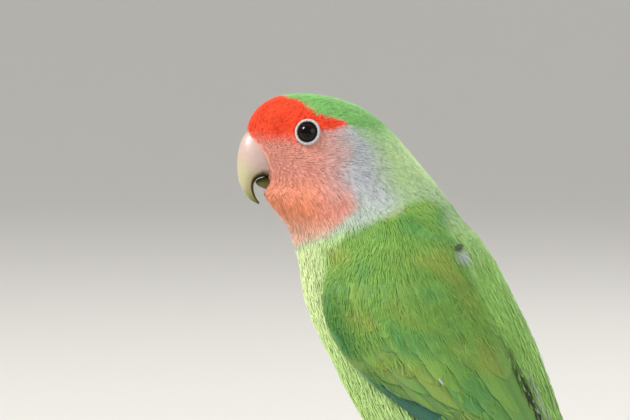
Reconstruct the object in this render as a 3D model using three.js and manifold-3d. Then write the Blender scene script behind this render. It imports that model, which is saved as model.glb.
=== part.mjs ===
// A peach-faced lovebird, life size, standing still on the floor with its tail tip down.
// Millimetres. +Z is up, the bird faces -X, its left side is -Y.
// The body is drawn straight in profile and the head is then turned to the bird's left.
import * as THREE from "three";
import { mergeVertices } from "three/addons/utils/BufferGeometryUtils.js";
import Module from "manifold-3d";

const wasm = await Module();
wasm.setup();

// Driving dimensions
const GAP = 0.3; // clearance between touching parts
const LEFT = -1;
const RIGHT = 1;
const NECK_X = 12.7; // the upright axis that the head turns about
const HEAD_TURN = THREE.MathUtils.degToRad(30);
const TURN_FROM = 94; // height where the neck starts to turn
const TURN_TO = 114; // height where it has turned fully
const TURN_SLOPE = 0.35; // the throat turns lower down than the nape
const BODY_COLUMNS = 26;
const BODY_ROWS = 38;

// Body stations from crown to vent: height, front, back, half width, and how far the front narrows
const BODY_STATIONS = [
  { z: 134.1, front: 0.0, back: 0.0, half: 0.0, egg: 0.15 },
  { z: 133.3, front: -6.2, back: 6.6, half: 5.6, egg: 0.18 },
  { z: 131.2, front: -10.2, back: 13.4, half: 8.9, egg: 0.22 },
  { z: 128.0, front: -12.8, back: 18.4, half: 11.1, egg: 0.26 },
  { z: 124.0, front: -13.6, back: 22.6, half: 12.5, egg: 0.28 },
  { z: 119.0, front: -11.5, back: 26.9, half: 13.1, egg: 0.26 },
  { z: 113.5, front: -8.6, back: 31.5, half: 13.6, egg: 0.2 },
  { z: 109.8, front: -9.6, back: 35.0, half: 14.1, egg: 0.14 },
  { z: 106.2, front: -7.2, back: 38.6, half: 15.0, egg: 0.08 },
  { z: 102.3, front: -4.3, back: 42.3, half: 16.4, egg: 0.03 },
  { z: 98.0, front: -2.9, back: 46.8, half: 17.8, egg: 0.0 },
  { z: 92.0, front: -1.2, back: 49.8, half: 18.9, egg: 0.0 },
  { z: 84.0, front: 0.4, back: 52.8, half: 19.6, egg: 0.0 },
  { z: 76.0, front: 4.0, back: 56.0, half: 19.8, egg: 0.0 },
  { z: 68.0, front: 8.6, back: 59.3, half: 19.4, egg: 0.0 },
  { z: 60.0, front: 13.0, back: 62.3, half: 18.6, egg: 0.0 },
  { z: 52.0, front: 18.0, back: 65.2, half: 17.4, egg: 0.02 },
  { z: 44.0, front: 23.6, back: 68.4, half: 15.6, egg: 0.04 },
  { z: 37.0, front: 29.6, back: 71.0, half: 13.2, egg: 0.04 },
  { z: 31.5, front: 36.0, back: 72.5, half: 10.4, egg: 0.04 },
  { z: 27.5, front: 43.0, back: 71.0, half: 7.0, egg: 0.02 },
  { z: 25.5, front: 57.0, back: 57.0, half: 0.0, egg: 0.0 },
];
const HEAD_CUT = { point: [12, 0, 111.5], normal: [-0.26, 0, 0.966] };
const NECK_CUT = { point: [22, 0, 96.5], normal: [-0.164, 0, 0.986] };

// Eye and lids
const EYE_STATION = 3.82;
const EYE_ANGLE = THREE.MathUtils.degToRad(81);
const EYE_RADIUS = 3.0;
const EYE_DEPTH = 1.95; // eye centre below the lid plane
const LID_RING_RADIUS = 2.9;
const LID_THICKNESS = 0.6;

// Bill, in profile: culmen and inner edge from the face to the tip, and half width
const UPPER_BILL = [
  { culmen: [-11.4, 126.0], inner: [-4.6, 114.6], half: 5.0 },
  { culmen: [-14.2, 123.6], inner: [-7.0, 114.0], half: 5.0 },
  { culmen: [-15.5, 120.2], inner: [-8.6, 113.6], half: 4.7 },
  { culmen: [-15.9, 116.6], inner: [-10.2, 113.4], half: 4.1 },
  { culmen: [-15.6, 113.2], inner: [-11.4, 112.6], half: 3.2 },
  { culmen: [-14.6, 110.4], inner: [-11.9, 110.8], half: 2.1 },
  { culmen: [-12.9, 108.1], inner: [-11.4, 108.7], half: 1.0 },
  { culmen: [-10.7, 106.8], inner: [-10.4, 107.1], half: 0.25 },
];
const LOWER_BILL = [
  { top: [-3.5, 114.2], bottom: [-3.5, 109.6], half: 3.9 },
  { top: [-6.5, 114.0], bottom: [-6.6, 109.9], half: 3.8 },
  { top: [-8.8, 113.6], bottom: [-8.9, 110.4], half: 3.3 },
  { top: [-10.6, 113.0], bottom: [-10.7, 111.2], half: 2.2 },
  { top: [-11.4, 112.5], bottom: [-11.4, 112.0], half: 1.0 },
];
const NOSTRIL = { x: -14.6, z: 122.3, y: 2.5, radius: 0.55, length: 3.2 };

// Folded wing, left side: leading edge, inner edge and how far the surface bulges between them
const WING_ROWS = [
  { lead: [21.0, -15.5, 99.0], inner: [38.0, -9.5, 101.5], bulge: 3.0 },
  { lead: [15.5, -18.5, 90.0], inner: [45.5, -8.0, 94.0], bulge: 7.0 },
  { lead: [15.2, -20.0, 82.0], inner: [52.2, -6.6, 84.0], bulge: 8.0 },
  { lead: [19.2, -20.5, 73.0], inner: [57.6, -5.8, 75.0], bulge: 8.2 },
  { lead: [26.0, -20.0, 65.0], inner: [62.4, -4.8, 65.0], bulge: 7.8 },
  { lead: [36.0, -18.5, 58.5], inner: [67.0, -3.8, 54.5], bulge: 6.8 },
  { lead: [47.0, -16.0, 50.5], inner: [72.0, -3.0, 44.5], bulge: 5.2 },
  { lead: [59.0, -13.0, 41.0], inner: [77.2, -2.6, 35.5], bulge: 3.4 },
  { lead: [72.0, -9.5, 31.0], inner: [82.8, -2.6, 27.0], bulge: 1.8 },
  { lead: [84.5, -6.4, 21.0], inner: [88.0, -2.8, 19.5], bulge: 0.4 },
];
const WING_CORE = { top: -1.8, bottom: -8, end: 0.6 };
// Outline of a feather: shares of its length, and its width there
const LONG_VANE = { shares: [0, 0.4, 0.8, 0.94, 1], widths: [0.5, 0.92, 1, 0.68, 0.26] };
const SHORT_VANE = { shares: [0, 0.62, 0.9, 1], widths: [0.6, 1, 0.74, 0.3] };
// Tiers of wing feathers from the lowest layer up: how many, where their roots and tips run,
// their width, and how high their roots and tips lie
const WING_TIERS = [
  {
    count: 6,
    root: { s: [0.3, 0.42], t: [0.42, 0.42] },
    tip: { s: [0.12, 0.7], t: [1.0, 0.8] },
    width: 6.2,
    rootLift: [-2.9, -2.7],
    tipLift: [-1.9, -1.2],
    roll: 0.16,
    shape: LONG_VANE,
  },
  {
    count: 6,
    root: { s: [0.12, 0.82], t: [0.36, 0.36] },
    tip: { s: [0.14, 0.93], t: [0.64, 0.8] },
    width: 8.6,
    rootLift: [-2.7, -2.7],
    tipLift: [-0.7, -0.6],
    roll: 0.17,
    shape: LONG_VANE,
  },
  {
    count: 6,
    root: { s: [0.1, 0.84], t: [0.26, 0.26] },
    tip: { s: [0.06, 0.92], t: [0.49, 0.57] },
    width: 8.4,
    rootLift: [-2.6, -2.6],
    tipLift: [0.1, 0.1],
    roll: 0.15,
    shape: SHORT_VANE,
  },
  {
    count: 5,
    root: { s: [0.14, 0.86], t: [0.18, 0.18] },
    tip: { s: [0.08, 0.92], t: [0.36, 0.42] },
    width: 8.8,
    rootLift: [-2.6, -2.6],
    tipLift: [0.5, 0.5],
    roll: 0.13,
    shape: SHORT_VANE,
  },
  {
    count: 5,
    root: { s: [0.18, 0.86], t: [0.09, 0.09] },
    tip: { s: [0.1, 0.92], t: [0.25, 0.29] },
    width: 9.4,
    rootLift: [-2.6, -2.6],
    tipLift: [0.7, 0.7],
    roll: 0.12,
    shape: SHORT_VANE,
  },
  {
    count: 4,
    root: { s: [0.24, 0.82], t: [0.02, 0.02] },
    tip: { s: [0.16, 0.88], t: [0.14, 0.17] },
    width: 9.0,
    rootLift: [-1.6, -1.6],
    tipLift: [0.9, 0.9],
    roll: 0.1,
    shape: SHORT_VANE,
  },
];
const VANE_THICKNESS = 0.55;
const VANE_RISE = 0.45; // share of a wing feather's length in which it comes up from its root
const WING_ROUNDNESS = 24; // radius that a wing feather curls over, side to side

// Tail: its upper surface, from inside the rump down to the floor
const TAIL_ROOT = [60, 0, 41.5];
const TAIL_TIP = [103.5, 0, -0.1];
const TAIL_PAIRS = 6;
const TAIL_WIDTH = 8.2;
const TAIL_STEP = 0.42; // each outer feather lies this much below the one inside it
const TAIL_CORE = { half: [4.5, 6.5], top: -0.6, bottom: -3.2, end: 0.5 };
const TAIL_COVERTS = { pairs: 3, width: 6.4, spacing: 3.2, above: 0.5, under: -3.1 };

// Legs
const THIGH_TOP = [37.5, 9, 36];
const THIGH_RADII = [9.6, 8, 3.6];
const ANKLE = [46, 11, 16];
const FOOT = [40, 11.5, 3.4];
const TARSUS_RADIUS = 2.1;
const TOE_BASE_RADIUS = 2.0;
const TOE_TIP_RADIUS = 1.35;
const SOLE_DEPTH = 0.28; // how much of the round toes is taken off flat at the floor
const CLAW_LENGTH = 5.2;
// Toe number, heading from straight ahead towards the outside, and length
const TOES = [
  { number: 1, heading: -158, length: 8.5 },
  { number: 2, heading: -16, length: 11.5 },
  { number: 3, heading: 14, length: 15.5 },
  { number: 4, heading: 150, length: 13.0 },
];

// Finishes
const finish = (color, roughness) =>
  new THREE.MeshStandardMaterial({ color, roughness, metalness: 0 });
const GREEN = finish(0x7fb348, 0.8);
const WING_GREEN = finish(0x5d9a3a, 0.75);
const PEACH = finish(0xe98a6c, 0.85);
const TAIL_GREEN = finish(0x4f9454, 0.75);
const HORN = finish(0xe6dccb, 0.35);
const EYE = finish(0x150d0b, 0.05);
const FOOT_GREY = finish(0x9b938c, 0.6);
const CLAW_DARK = finish(0x4a423d, 0.4);

const vec = (a) => new THREE.Vector3(a[0], a[1], a[2]);
const lerp = THREE.MathUtils.lerp;

// Smooth curve through evenly numbered values
function through(values, at) {
  const last = values.length - 1;
  const i = Math.min(Math.floor(at), last - 1);
  const f = at - i;
  const a = values[i];
  const b = values[i + 1];
  const before = i > 0 ? values[i - 1] : 2 * a - b;
  const after = i + 2 <= last ? values[i + 2] : 2 * b - a;
  const slopeA = (b - before) / 2;
  const slopeB = (after - a) / 2;
  const f2 = f * f;
  const f3 = f2 * f;
  return (
    (2 * f3 - 3 * f2 + 1) * a +
    (f3 - 2 * f2 + f) * slopeA +
    (3 * f2 - 2 * f3) * b +
    (f3 - f2) * slopeB
  );
}

// Solids from geometry, and back
function solid(geometry) {
  const bare = geometry.clone();
  bare.deleteAttribute("normal");
  bare.deleteAttribute("uv");
  const merged = mergeVertices(bare, 1e-5);
  return new wasm.Manifold(
    new wasm.Mesh({
      numProp: 3,
      vertProperties: new Float32Array(merged.attributes.position.array),
      triVerts: new Uint32Array(merged.index.array),
    }),
  );
}

function geometryOf(body) {
  const made = body.getMesh();
  const position = new Float32Array(made.numVert * 3);
  for (let i = 0; i < made.numVert; i++) {
    const from = i * made.numProp;
    position.set(made.vertProperties.subarray(from, from + 3), i * 3);
  }
  const geometry = new THREE.BufferGeometry();
  geometry.setAttribute("position", new THREE.BufferAttribute(position, 3));
  geometry.setIndex(new THREE.BufferAttribute(new Uint32Array(made.triVerts), 1));
  geometry.computeVertexNormals();
  return geometry;
}

function largest(body) {
  return body
    .decompose()
    .reduce((best, b) => (b.volume() > best.volume() ? b : best));
}

function facesOut(body, geometry) {
  if (body.volume() > 0) return body;
  const turned = geometry.index.array;
  for (let i = 0; i < turned.length; i += 3)
    [turned[i + 1], turned[i + 2]] = [turned[i + 2], turned[i + 1]];
  return solid(geometry);
}

function closedSolid(points, faces) {
  const geometry = new THREE.BufferGeometry().setFromPoints(points);
  geometry.setIndex(faces);
  return facesOut(solid(geometry), geometry);
}

// A closed skin over rings of points, capped at both ends
function loft(rings) {
  const n = rings[0].length;
  const points = rings.flat();
  const faces = [];
  for (let r = 0; r + 1 < rings.length; r++)
    for (let c = 0; c < n; c++) {
      const a = r * n + c;
      const b = r * n + ((c + 1) % n);
      faces.push(a, b, a + n, b, b + n, a + n);
    }
  [0, rings.length - 1].forEach((r) => {
    const centre = rings[r]
      .reduce((sum, p) => sum.add(p), new THREE.Vector3())
      .divideScalar(n);
    const hub = points.push(centre) - 1;
    for (let c = 0; c < n; c++) {
      const a = r * n + c;
      const b = r * n + ((c + 1) % n);
      if (r === 0) faces.push(hub, b, a);
      else faces.push(hub, a, b);
    }
  });
  return closedSolid(points, faces);
}

// Turns the head: nothing at the breast, the full turn from the chin up
function turned(p) {
  const height = p.z + TURN_SLOPE * (NECK_X - p.x);
  const share = THREE.MathUtils.smoothstep(height, TURN_FROM, TURN_TO);
  return turnedBy(p, HEAD_TURN * share);
}

function turnedBy(p, angle) {
  const x = p.x - NECK_X;
  return new THREE.Vector3(
    NECK_X + x * Math.cos(angle) - p.y * Math.sin(angle),
    x * Math.sin(angle) + p.y * Math.cos(angle),
    p.z,
  );
}

// A point of the body's surface before the head is turned; angle 0 is the front
function bodyPoint(angle, at, grow = 0) {
  const value = (key) => through(BODY_STATIONS.map((s) => s[key]), at);
  const front = value("front") - grow;
  const back = value("back") + grow;
  const half = Math.max(value("half"), 0) + grow;
  const end = at / (BODY_STATIONS.length - 1);
  const rise = grow * Math.cos(Math.PI * end);
  const x = (front + back) / 2 - ((back - front) / 2) * Math.cos(angle);
  const y = half * Math.sin(angle) * (1 - value("egg") * Math.cos(angle));
  return new THREE.Vector3(x, -y, value("z") + rise);
}

function bodySolid(grow = 0) {
  const rings = [];
  const last = BODY_STATIONS.length - 1;
  for (let r = 0; r <= BODY_ROWS; r++) {
    const at = lerp(0.12, last - 0.12, r / BODY_ROWS);
    const ring = [];
    for (let c = 0; c < BODY_COLUMNS; c++)
      ring.push(turned(bodyPoint((2 * Math.PI * c) / BODY_COLUMNS, at, grow)));
    rings.push(ring);
  }
  return loft(rings);
}

function above(body, cut, clearance) {
  const n = vec(cut.normal).normalize();
  return body.trimByPlane(n.toArray(), n.dot(vec(cut.point)) + clearance);
}

function below(body, cut, clearance) {
  const n = vec(cut.normal).normalize();
  const down = n.clone().negate();
  return body.trimByPlane(down.toArray(), -n.dot(vec(cut.point)) + clearance);
}

// Eye: its place and the direction that it looks, after the head is turned
function eyeSeat(side) {
  const step = 0.02;
  const at = (angle, row) => bodyPoint(angle, row);
  const p = at(EYE_ANGLE, EYE_STATION);
  const along = at(EYE_ANGLE + step, EYE_STATION).sub(p);
  const down = at(EYE_ANGLE, EYE_STATION + step).sub(p);
  const out = along.cross(down).normalize();
  if (out.y > 0) out.negate();
  if (side === RIGHT) {
    p.y = -p.y;
    out.y = -out.y;
  }
  const tip = turnedBy(p.clone().add(out), HEAD_TURN);
  const seat = turnedBy(p, HEAD_TURN);
  return { seat, out: tip.sub(seat).normalize() };
}

function eyeBall(side, radius) {
  const { seat, out } = eyeSeat(side);
  const centre = seat.clone().addScaledVector(out, -EYE_DEPTH);
  const ball = new THREE.SphereGeometry(radius, 16, 10);
  ball.translate(centre.x, centre.y, centre.z);
  return solid(ball);
}

function lidRing(side) {
  const { seat, out } = eyeSeat(side);
  const ring = new THREE.TorusGeometry(LID_RING_RADIUS, LID_THICKNESS, 6, 16);
  const q = new THREE.Quaternion().setFromUnitVectors(
    new THREE.Vector3(0, 0, 1),
    out,
  );
  ring.applyQuaternion(q);
  ring.translate(seat.x, seat.y, seat.z);
  return solid(ring);
}

// Upper bill: a ridge along the culmen, widest near the cutting edge
function upperBill(grow = 0) {
  const sides = 14;
  const rings = UPPER_BILL.map(({ culmen, inner, half }) => {
    const c = new THREE.Vector3(culmen[0], 0, culmen[1]);
    const i = new THREE.Vector3(inner[0], 0, inner[1]);
    const across = i.clone().sub(c).normalize();
    c.addScaledVector(across, -grow);
    i.addScaledVector(across, grow);
    const ring = [];
    for (let k = 0; k < sides; k++) {
      const angle = (2 * Math.PI * k) / sides;
      const depth = 0.5 - 0.5 * Math.cos(angle);
      const wide = Math.sin(angle) * (0.8 + 0.2 * depth);
      const p = c.clone().lerp(i, Math.pow(depth, 0.9));
      p.y = wide * (half + grow);
      ring.push(turnedBy(p, HEAD_TURN));
    }
    return ring;
  });
  return loft(rings);
}

function lowerBill(grow = 0) {
  const sides = 12;
  const rings = LOWER_BILL.map(({ top, bottom, half }) => {
    const middle = [(top[0] + bottom[0]) / 2, (top[1] + bottom[1]) / 2];
    const rise = (top[1] - bottom[1]) / 2 + grow;
    const ring = [];
    for (let k = 0; k < sides; k++) {
      const angle = (2 * Math.PI * k) / sides;
      const p = new THREE.Vector3(
        middle[0],
        Math.sin(angle) * (half + grow),
        middle[1] + Math.cos(angle) * rise,
      );
      ring.push(turnedBy(p, HEAD_TURN));
    }
    return ring;
  });
  return loft(rings);
}

function nostril(side) {
  const pit = new THREE.CylinderGeometry(
    NOSTRIL.radius,
    NOSTRIL.radius,
    NOSTRIL.length,
    10,
  );
  pit.rotateZ(Math.PI / 2);
  pit.translate(NOSTRIL.x, side * NOSTRIL.y, NOSTRIL.z);
  pit.translate(-NECK_X, 0, 0);
  pit.rotateZ(HEAD_TURN);
  pit.translate(NECK_X, 0, 0);
  return solid(pit);
}

// Wing surface: s runs from the leading edge to the inner edge, t from the shoulder to the tip
const leadLine = WING_ROWS.map((r) => r.lead);
const innerLine = WING_ROWS.map((r) => r.inner);
function wingPoint(s, t) {
  const at = t * (WING_ROWS.length - 1);
  const on = (line) =>
    new THREE.Vector3(...[0, 1, 2].map((k) => through(line.map((p) => p[k]), at)));
  const lead = on(leadLine);
  const inner = on(innerLine);
  const chord = inner.clone().sub(lead);
  const outward = new THREE.Vector3(chord.y, -chord.x, 0).normalize();
  const bulge = through(WING_ROWS.map((r) => r.bulge), at);
  return lead
    .addScaledVector(chord, s)
    .addScaledVector(outward, bulge * 4 * s * (1 - s));
}

// Surface point with its sideways and outward directions
function wingFrame(s, t) {
  const step = 0.01;
  const p = wingPoint(s, t);
  const side = wingPoint(s + step, t).sub(wingPoint(s - step, t)).normalize();
  const tNear = Math.max(t - step, 0);
  const tFar = Math.min(t + step, 1);
  const along = wingPoint(s, tFar).sub(wingPoint(s, tNear)).normalize();
  const out = side.clone().cross(along).normalize();
  if (out.y > 0) out.negate();
  return { p, side, out };
}

// A curved slab between two heights over a surface
function slab(frameAt, columns, rows, top, bottom) {
  const points = [];
  const faces = [];
  const width = columns + 1;
  [top, bottom].forEach((height) => {
    for (let r = 0; r <= rows; r++)
      for (let c = 0; c <= columns; c++) {
        const { p, out } = frameAt(c / columns, r / rows);
        points.push(p.clone().addScaledVector(out, height(c / columns, r / rows)));
      }
  });
  const under = width * (rows + 1);
  for (let r = 0; r < rows; r++)
    for (let c = 0; c < columns; c++) {
      const a = r * width + c;
      faces.push(a, a + 1, a + width, a + 1, a + width + 1, a + width);
      const b = a + under;
      faces.push(b, b + width, b + 1, b + 1, b + width, b + width + 1);
    }
  const wall = (a, b) => faces.push(a, a + under, b, b, a + under, b + under);
  for (let c = 0; c < columns; c++) {
    wall(c, c + 1);
    const far = rows * width + c;
    wall(far + 1, far);
  }
  for (let r = 0; r < rows; r++) {
    wall((r + 1) * width, r * width);
    wall(r * width + columns, (r + 1) * width + columns);
  }
  return closedSolid(points, faces);
}

// One long feather: a thin plate with a round tip that follows a surface.
// frameAt gives the surface for a place in the tier's own terms. Roundness curls the plate over
// sideways, and roll tips it so that one edge lies over its neighbour.
function vane(frameAt, { root, tip, width, rootLift, tipLift, rise, roundness, roll, shape }) {
  const { shares, widths } = shape;
  const alongVane = (across, share) => {
    const row = Math.round(share * (shares.length - 1));
    const at = shares[row];
    const { p, side, out } = frameAt(lerp(root[0], tip[0], at), lerp(root[1], tip[1], at));
    const reach = ((2 * across - 1) * width * widths[row]) / 2;
    const lift = lerp(rootLift, tipLift, THREE.MathUtils.smoothstep(at, 0, rise));
    const droop = (reach * reach) / (2 * roundness) + reach * roll;
    p.addScaledVector(side, reach).addScaledVector(out, lift - droop);
    return { p, out };
  };
  return slab(alongVane, 2, shares.length - 1, () => 0, () => -VANE_THICKNESS);
}

function wingTier({ count, root, tip, width, rootLift, tipLift, roll, shape }) {
  const made = [];
  for (let i = 0; i < count; i++) {
    const share = i / (count - 1);
    const on = ([from, to]) => lerp(from, to, share);
    made.push(
      vane(wingFrame, {
        root: [on(root.s), on(root.t)],
        tip: [on(tip.s), on(tip.t)],
        width,
        rootLift: on(rootLift),
        tipLift: on(tipLift),
        rise: VANE_RISE,
        roundness: WING_ROUNDNESS,
        roll,
        shape,
      }),
    );
  }
  return made;
}

function wing(side) {
  const core = slab(
    (s, t) => wingFrame(s, t * WING_CORE.end),
    6,
    9,
    () => WING_CORE.top,
    () => WING_CORE.bottom,
  );
  const joined = wasm.Manifold.union([core, ...WING_TIERS.flatMap(wingTier)]);
  const fitted = joined.subtract(bodySolid(GAP)).trimByPlane([0, -1, 0], GAP / 2);
  const body = largest(fitted);
  return side === LEFT ? body : body.mirror([0, 1, 0]);
}

// Tail surface: y in millimetres from the middle, t from the rump to the tip
function tailFrame(y, t) {
  const root = vec(TAIL_ROOT);
  const tip = vec(TAIL_TIP);
  const p = root.clone().lerp(tip, t);
  const along = tip.sub(root).normalize();
  p.y = y;
  return {
    p,
    side: new THREE.Vector3(0, 1, 0),
    out: new THREE.Vector3(-along.z, 0, along.x),
  };
}

function tailFeather(pair, side) {
  return vane(tailFrame, {
    root: [side * (0.6 + 0.6 * pair), 0.16],
    tip: [side * (1.3 + 1.7 * pair), 1 - 0.006 * pair * pair],
    width: TAIL_WIDTH,
    rootLift: -1.2 - 0.25 * pair,
    tipLift: -TAIL_STEP * pair,
    rise: 0.5,
    roundness: 40,
    roll: 0,
    shape: LONG_VANE,
  });
}

function tailCovert(pair, side, lift, reach) {
  return vane(tailFrame, {
    root: [side * (0.8 + 1.2 * pair), 0.12],
    tip: [side * (1.2 + TAIL_COVERTS.spacing * pair * 0.8), reach - 0.05 * pair],
    width: TAIL_COVERTS.width,
    rootLift: lift > 0 ? -1.2 : -2.2,
    tipLift: lift - 0.2 * pair * Math.sign(lift),
    rise: 0.8,
    roundness: lift > 0 ? 14 : 60,
    roll: 0,
    shape: SHORT_VANE,
  });
}

function tail() {
  const core = slab(
    (s, t) => tailFrame((2 * s - 1) * lerp(...TAIL_CORE.half, t), t * TAIL_CORE.end),
    6,
    6,
    () => TAIL_CORE.top,
    () => TAIL_CORE.bottom,
  );
  const pieces = [core];
  [LEFT, RIGHT].forEach((side) => {
    for (let pair = 0; pair < TAIL_PAIRS; pair++) pieces.push(tailFeather(pair, side));
    for (let pair = 0; pair < TAIL_COVERTS.pairs; pair++) {
      pieces.push(tailCovert(pair, side, TAIL_COVERTS.above, 0.46));
      pieces.push(tailCovert(pair, side, TAIL_COVERTS.under, 0.5));
    }
  });
  const joined = wasm.Manifold.union(pieces);
  return largest(joined.subtract(bodySolid(GAP)).trimByPlane([0, 0, 1], 0));
}

// A tapered limb with round ends through points of given radius
function limb(points, radii, grow = 0, sides = 12, steps = 5) {
  const curve = new THREE.CatmullRomCurve3(points);
  const rings = [];
  const ring = (centre, along, radius) => {
    const side = new THREE.Vector3(0, 1, 0).cross(along);
    if (side.length() < 0.1) side.set(1, 0, 0);
    side.normalize();
    const up = along.clone().cross(side).normalize();
    const made = [];
    for (let k = 0; k < sides; k++) {
      const a = (2 * Math.PI * k) / sides;
      made.push(
        centre
          .clone()
          .addScaledVector(side, radius * Math.cos(a))
          .addScaledVector(up, radius * Math.sin(a)),
      );
    }
    rings.push(made);
  };
  const radiusAt = (t) => through(radii, t * (radii.length - 1)) + grow;
  const first = curve.getPoint(0);
  const last = curve.getPoint(1);
  const startDir = curve.getTangent(0);
  const endDir = curve.getTangent(1);
  ring(first.clone().addScaledVector(startDir, -radiusAt(0) * 0.8), startDir, radiusAt(0) * 0.5);
  for (let i = 0; i <= steps; i++)
    ring(curve.getPoint(i / steps), curve.getTangent(i / steps), radiusAt(i / steps));
  ring(last.clone().addScaledVector(endDir, radiusAt(1) * 0.7), endDir, radiusAt(1) * 0.62);
  return loft(rings);
}

const sideways = (a, side) => new THREE.Vector3(a[0], a[1] * side, a[2]);

function thigh(side, grow = 0) {
  const top = sideways(THIGH_TOP, side);
  const ankle = sideways(ANKLE, side);
  const middle = top.clone().lerp(ankle, 0.5).add(new THREE.Vector3(1.2, 0, 0.4));
  return limb([top, middle, ankle], THIGH_RADII, grow, 16, 7);
}

function toePath(toe, side) {
  const heading = THREE.MathUtils.degToRad(toe.heading);
  const ahead = new THREE.Vector3(-Math.cos(heading), side * Math.sin(heading), 0);
  const base = sideways(FOOT, side);
  const radii = [TOE_BASE_RADIUS, lerp(TOE_BASE_RADIUS, TOE_TIP_RADIUS, 0.4), TOE_TIP_RADIUS];
  const points = radii.map((radius, i) => {
    const p = base.clone().addScaledVector(ahead, (toe.length * i) / 2);
    p.z = radius - SOLE_DEPTH;
    return p;
  });
  return { points, radii, ahead };
}

function toe(which, side, grow = 0) {
  const { points, radii } = toePath(which, side);
  return limb(points, radii, grow, 8, 3);
}

function foot(side) {
  const ankle = sideways(ANKLE, side);
  const sole = sideways(FOOT, side);
  const shank = limb(
    [ankle, ankle.clone().lerp(sole, 0.5), sole],
    [TARSUS_RADIUS + 0.3, TARSUS_RADIUS - 0.1, TARSUS_RADIUS + 0.4],
    0,
    10,
  );
  const joined = wasm.Manifold.union([shank, ...TOES.map((t) => toe(t, side))]);
  return largest(joined.subtract(thigh(side, GAP)).trimByPlane([0, 0, 1], 0));
}

function claw(which, side) {
  const { points, ahead } = toePath(which, side);
  const start = points[2].clone();
  const at = (share, z) => {
    const p = start.clone().addScaledVector(ahead, CLAW_LENGTH * share);
    p.z = z;
    return p;
  };
  const body = limb([at(0.05, 1.5), at(0.55, 2.1), at(1, 0.55)], [1.0, 0.75, 0.28], 0, 6, 3);
  return largest(body.subtract(toe(which, side, GAP)));
}

// The bird
const bird = new THREE.Group();
function add(name, body, material) {
  const mesh = new THREE.Mesh(geometryOf(body), material);
  mesh.name = name;
  bird.add(mesh);
}

const whole = bodySolid();
const sockets = [LEFT, RIGHT].map((side) => eyeBall(side, EYE_RADIUS + GAP));
const head = above(whole, HEAD_CUT, GAP / 2)
  .add(lidRing(LEFT))
  .add(lidRing(RIGHT))
  .subtract(sockets[0])
  .subtract(sockets[1])
  .subtract(upperBill(GAP))
  .subtract(lowerBill(GAP));
const neck = above(below(whole, HEAD_CUT, GAP / 2), NECK_CUT, GAP / 2);
const torso = below(whole, NECK_CUT, GAP / 2);

add("head", largest(head), PEACH);
add(
  "bill_upper",
  largest(
    upperBill().subtract(lowerBill(GAP)).subtract(nostril(LEFT)).subtract(nostril(RIGHT)),
  ),
  HORN,
);
add("bill_lower", lowerBill(), HORN);
add("neck", largest(neck.subtract(upperBill(GAP))), PEACH);
add("torso", largest(torso), GREEN);
add("tail", tail(), TAIL_GREEN);
[LEFT, RIGHT].forEach((side) => {
  const name = side === LEFT ? "left" : "right";
  add("eye_" + name, eyeBall(side, EYE_RADIUS), EYE);
  add("wing_" + name, wing(side), WING_GREEN);
  add("thigh_" + name, largest(thigh(side).subtract(bodySolid(GAP))), GREEN);
  add("foot_" + name, foot(side), FOOT_GREY);
  TOES.forEach((t) => add(`claw_${name}_${t.number}`, claw(t, side), CLAW_DARK));
});

// The origin is on the floor under the middle of the bird's box
const box = new THREE.Box3().setFromObject(bird);
const middle = box.getCenter(new THREE.Vector3());
bird.position.set(-middle.x, -middle.y, 0);

export default bird;
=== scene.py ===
# A peach-faced lovebird, life size, standing still on a pale floor with its tail tip down
import math
import bpy
import numpy as np
from mathutils import Matrix, Vector
from mathutils.bvhtree import BVHTree


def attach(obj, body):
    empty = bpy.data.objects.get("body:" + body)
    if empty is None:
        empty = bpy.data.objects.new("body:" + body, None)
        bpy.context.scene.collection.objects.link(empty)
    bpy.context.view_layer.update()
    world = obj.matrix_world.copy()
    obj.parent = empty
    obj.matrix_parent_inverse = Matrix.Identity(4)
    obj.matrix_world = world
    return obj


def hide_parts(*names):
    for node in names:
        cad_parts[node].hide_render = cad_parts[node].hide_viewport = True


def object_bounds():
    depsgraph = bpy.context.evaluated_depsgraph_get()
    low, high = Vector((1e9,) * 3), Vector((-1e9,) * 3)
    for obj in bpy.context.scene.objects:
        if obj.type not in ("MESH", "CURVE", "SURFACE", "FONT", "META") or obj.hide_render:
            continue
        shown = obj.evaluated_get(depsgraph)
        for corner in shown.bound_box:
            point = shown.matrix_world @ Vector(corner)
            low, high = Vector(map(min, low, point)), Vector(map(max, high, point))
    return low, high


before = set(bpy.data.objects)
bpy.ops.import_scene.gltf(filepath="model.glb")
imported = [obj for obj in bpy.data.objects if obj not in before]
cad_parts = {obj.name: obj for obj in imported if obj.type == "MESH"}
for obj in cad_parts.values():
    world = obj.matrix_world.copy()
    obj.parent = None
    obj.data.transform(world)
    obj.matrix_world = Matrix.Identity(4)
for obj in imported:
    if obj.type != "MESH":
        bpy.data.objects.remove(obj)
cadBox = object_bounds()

# Shapes are worked out in millimetres: +z up, bird facing -x, its left side -y, then moved to the frame
birdPlace = {"shiftX": -45.468, "scale": 0.001}
headTurn = {"axisX": 12.7, "angle": math.radians(30), "start": 94.0, "end": 114.0, "slope": 0.35}


def linearHex(text):
    channels = [int(text[i:i + 2], 16) / 255 for i in (1, 3, 5)]
    return np.array([c / 12.92 if c <= 0.04045 else ((c + 0.055) / 1.055) ** 2.4 for c in channels])


def linearColours(hexes):
    return {key: linearHex(text) for key, text in hexes.items()}


def unit(v):
    return v / np.maximum(np.linalg.norm(v, axis=-1, keepdims=True), 1e-9)


def smooth(x, start, end):
    t = np.clip((np.asarray(x, float) - start) / (np.asarray(end) - start), 0, 1)
    return t * t * (3 - 2 * t)


def mix(a, b, share):
    return a + (b - a) * np.asarray(share)[..., None]


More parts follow.
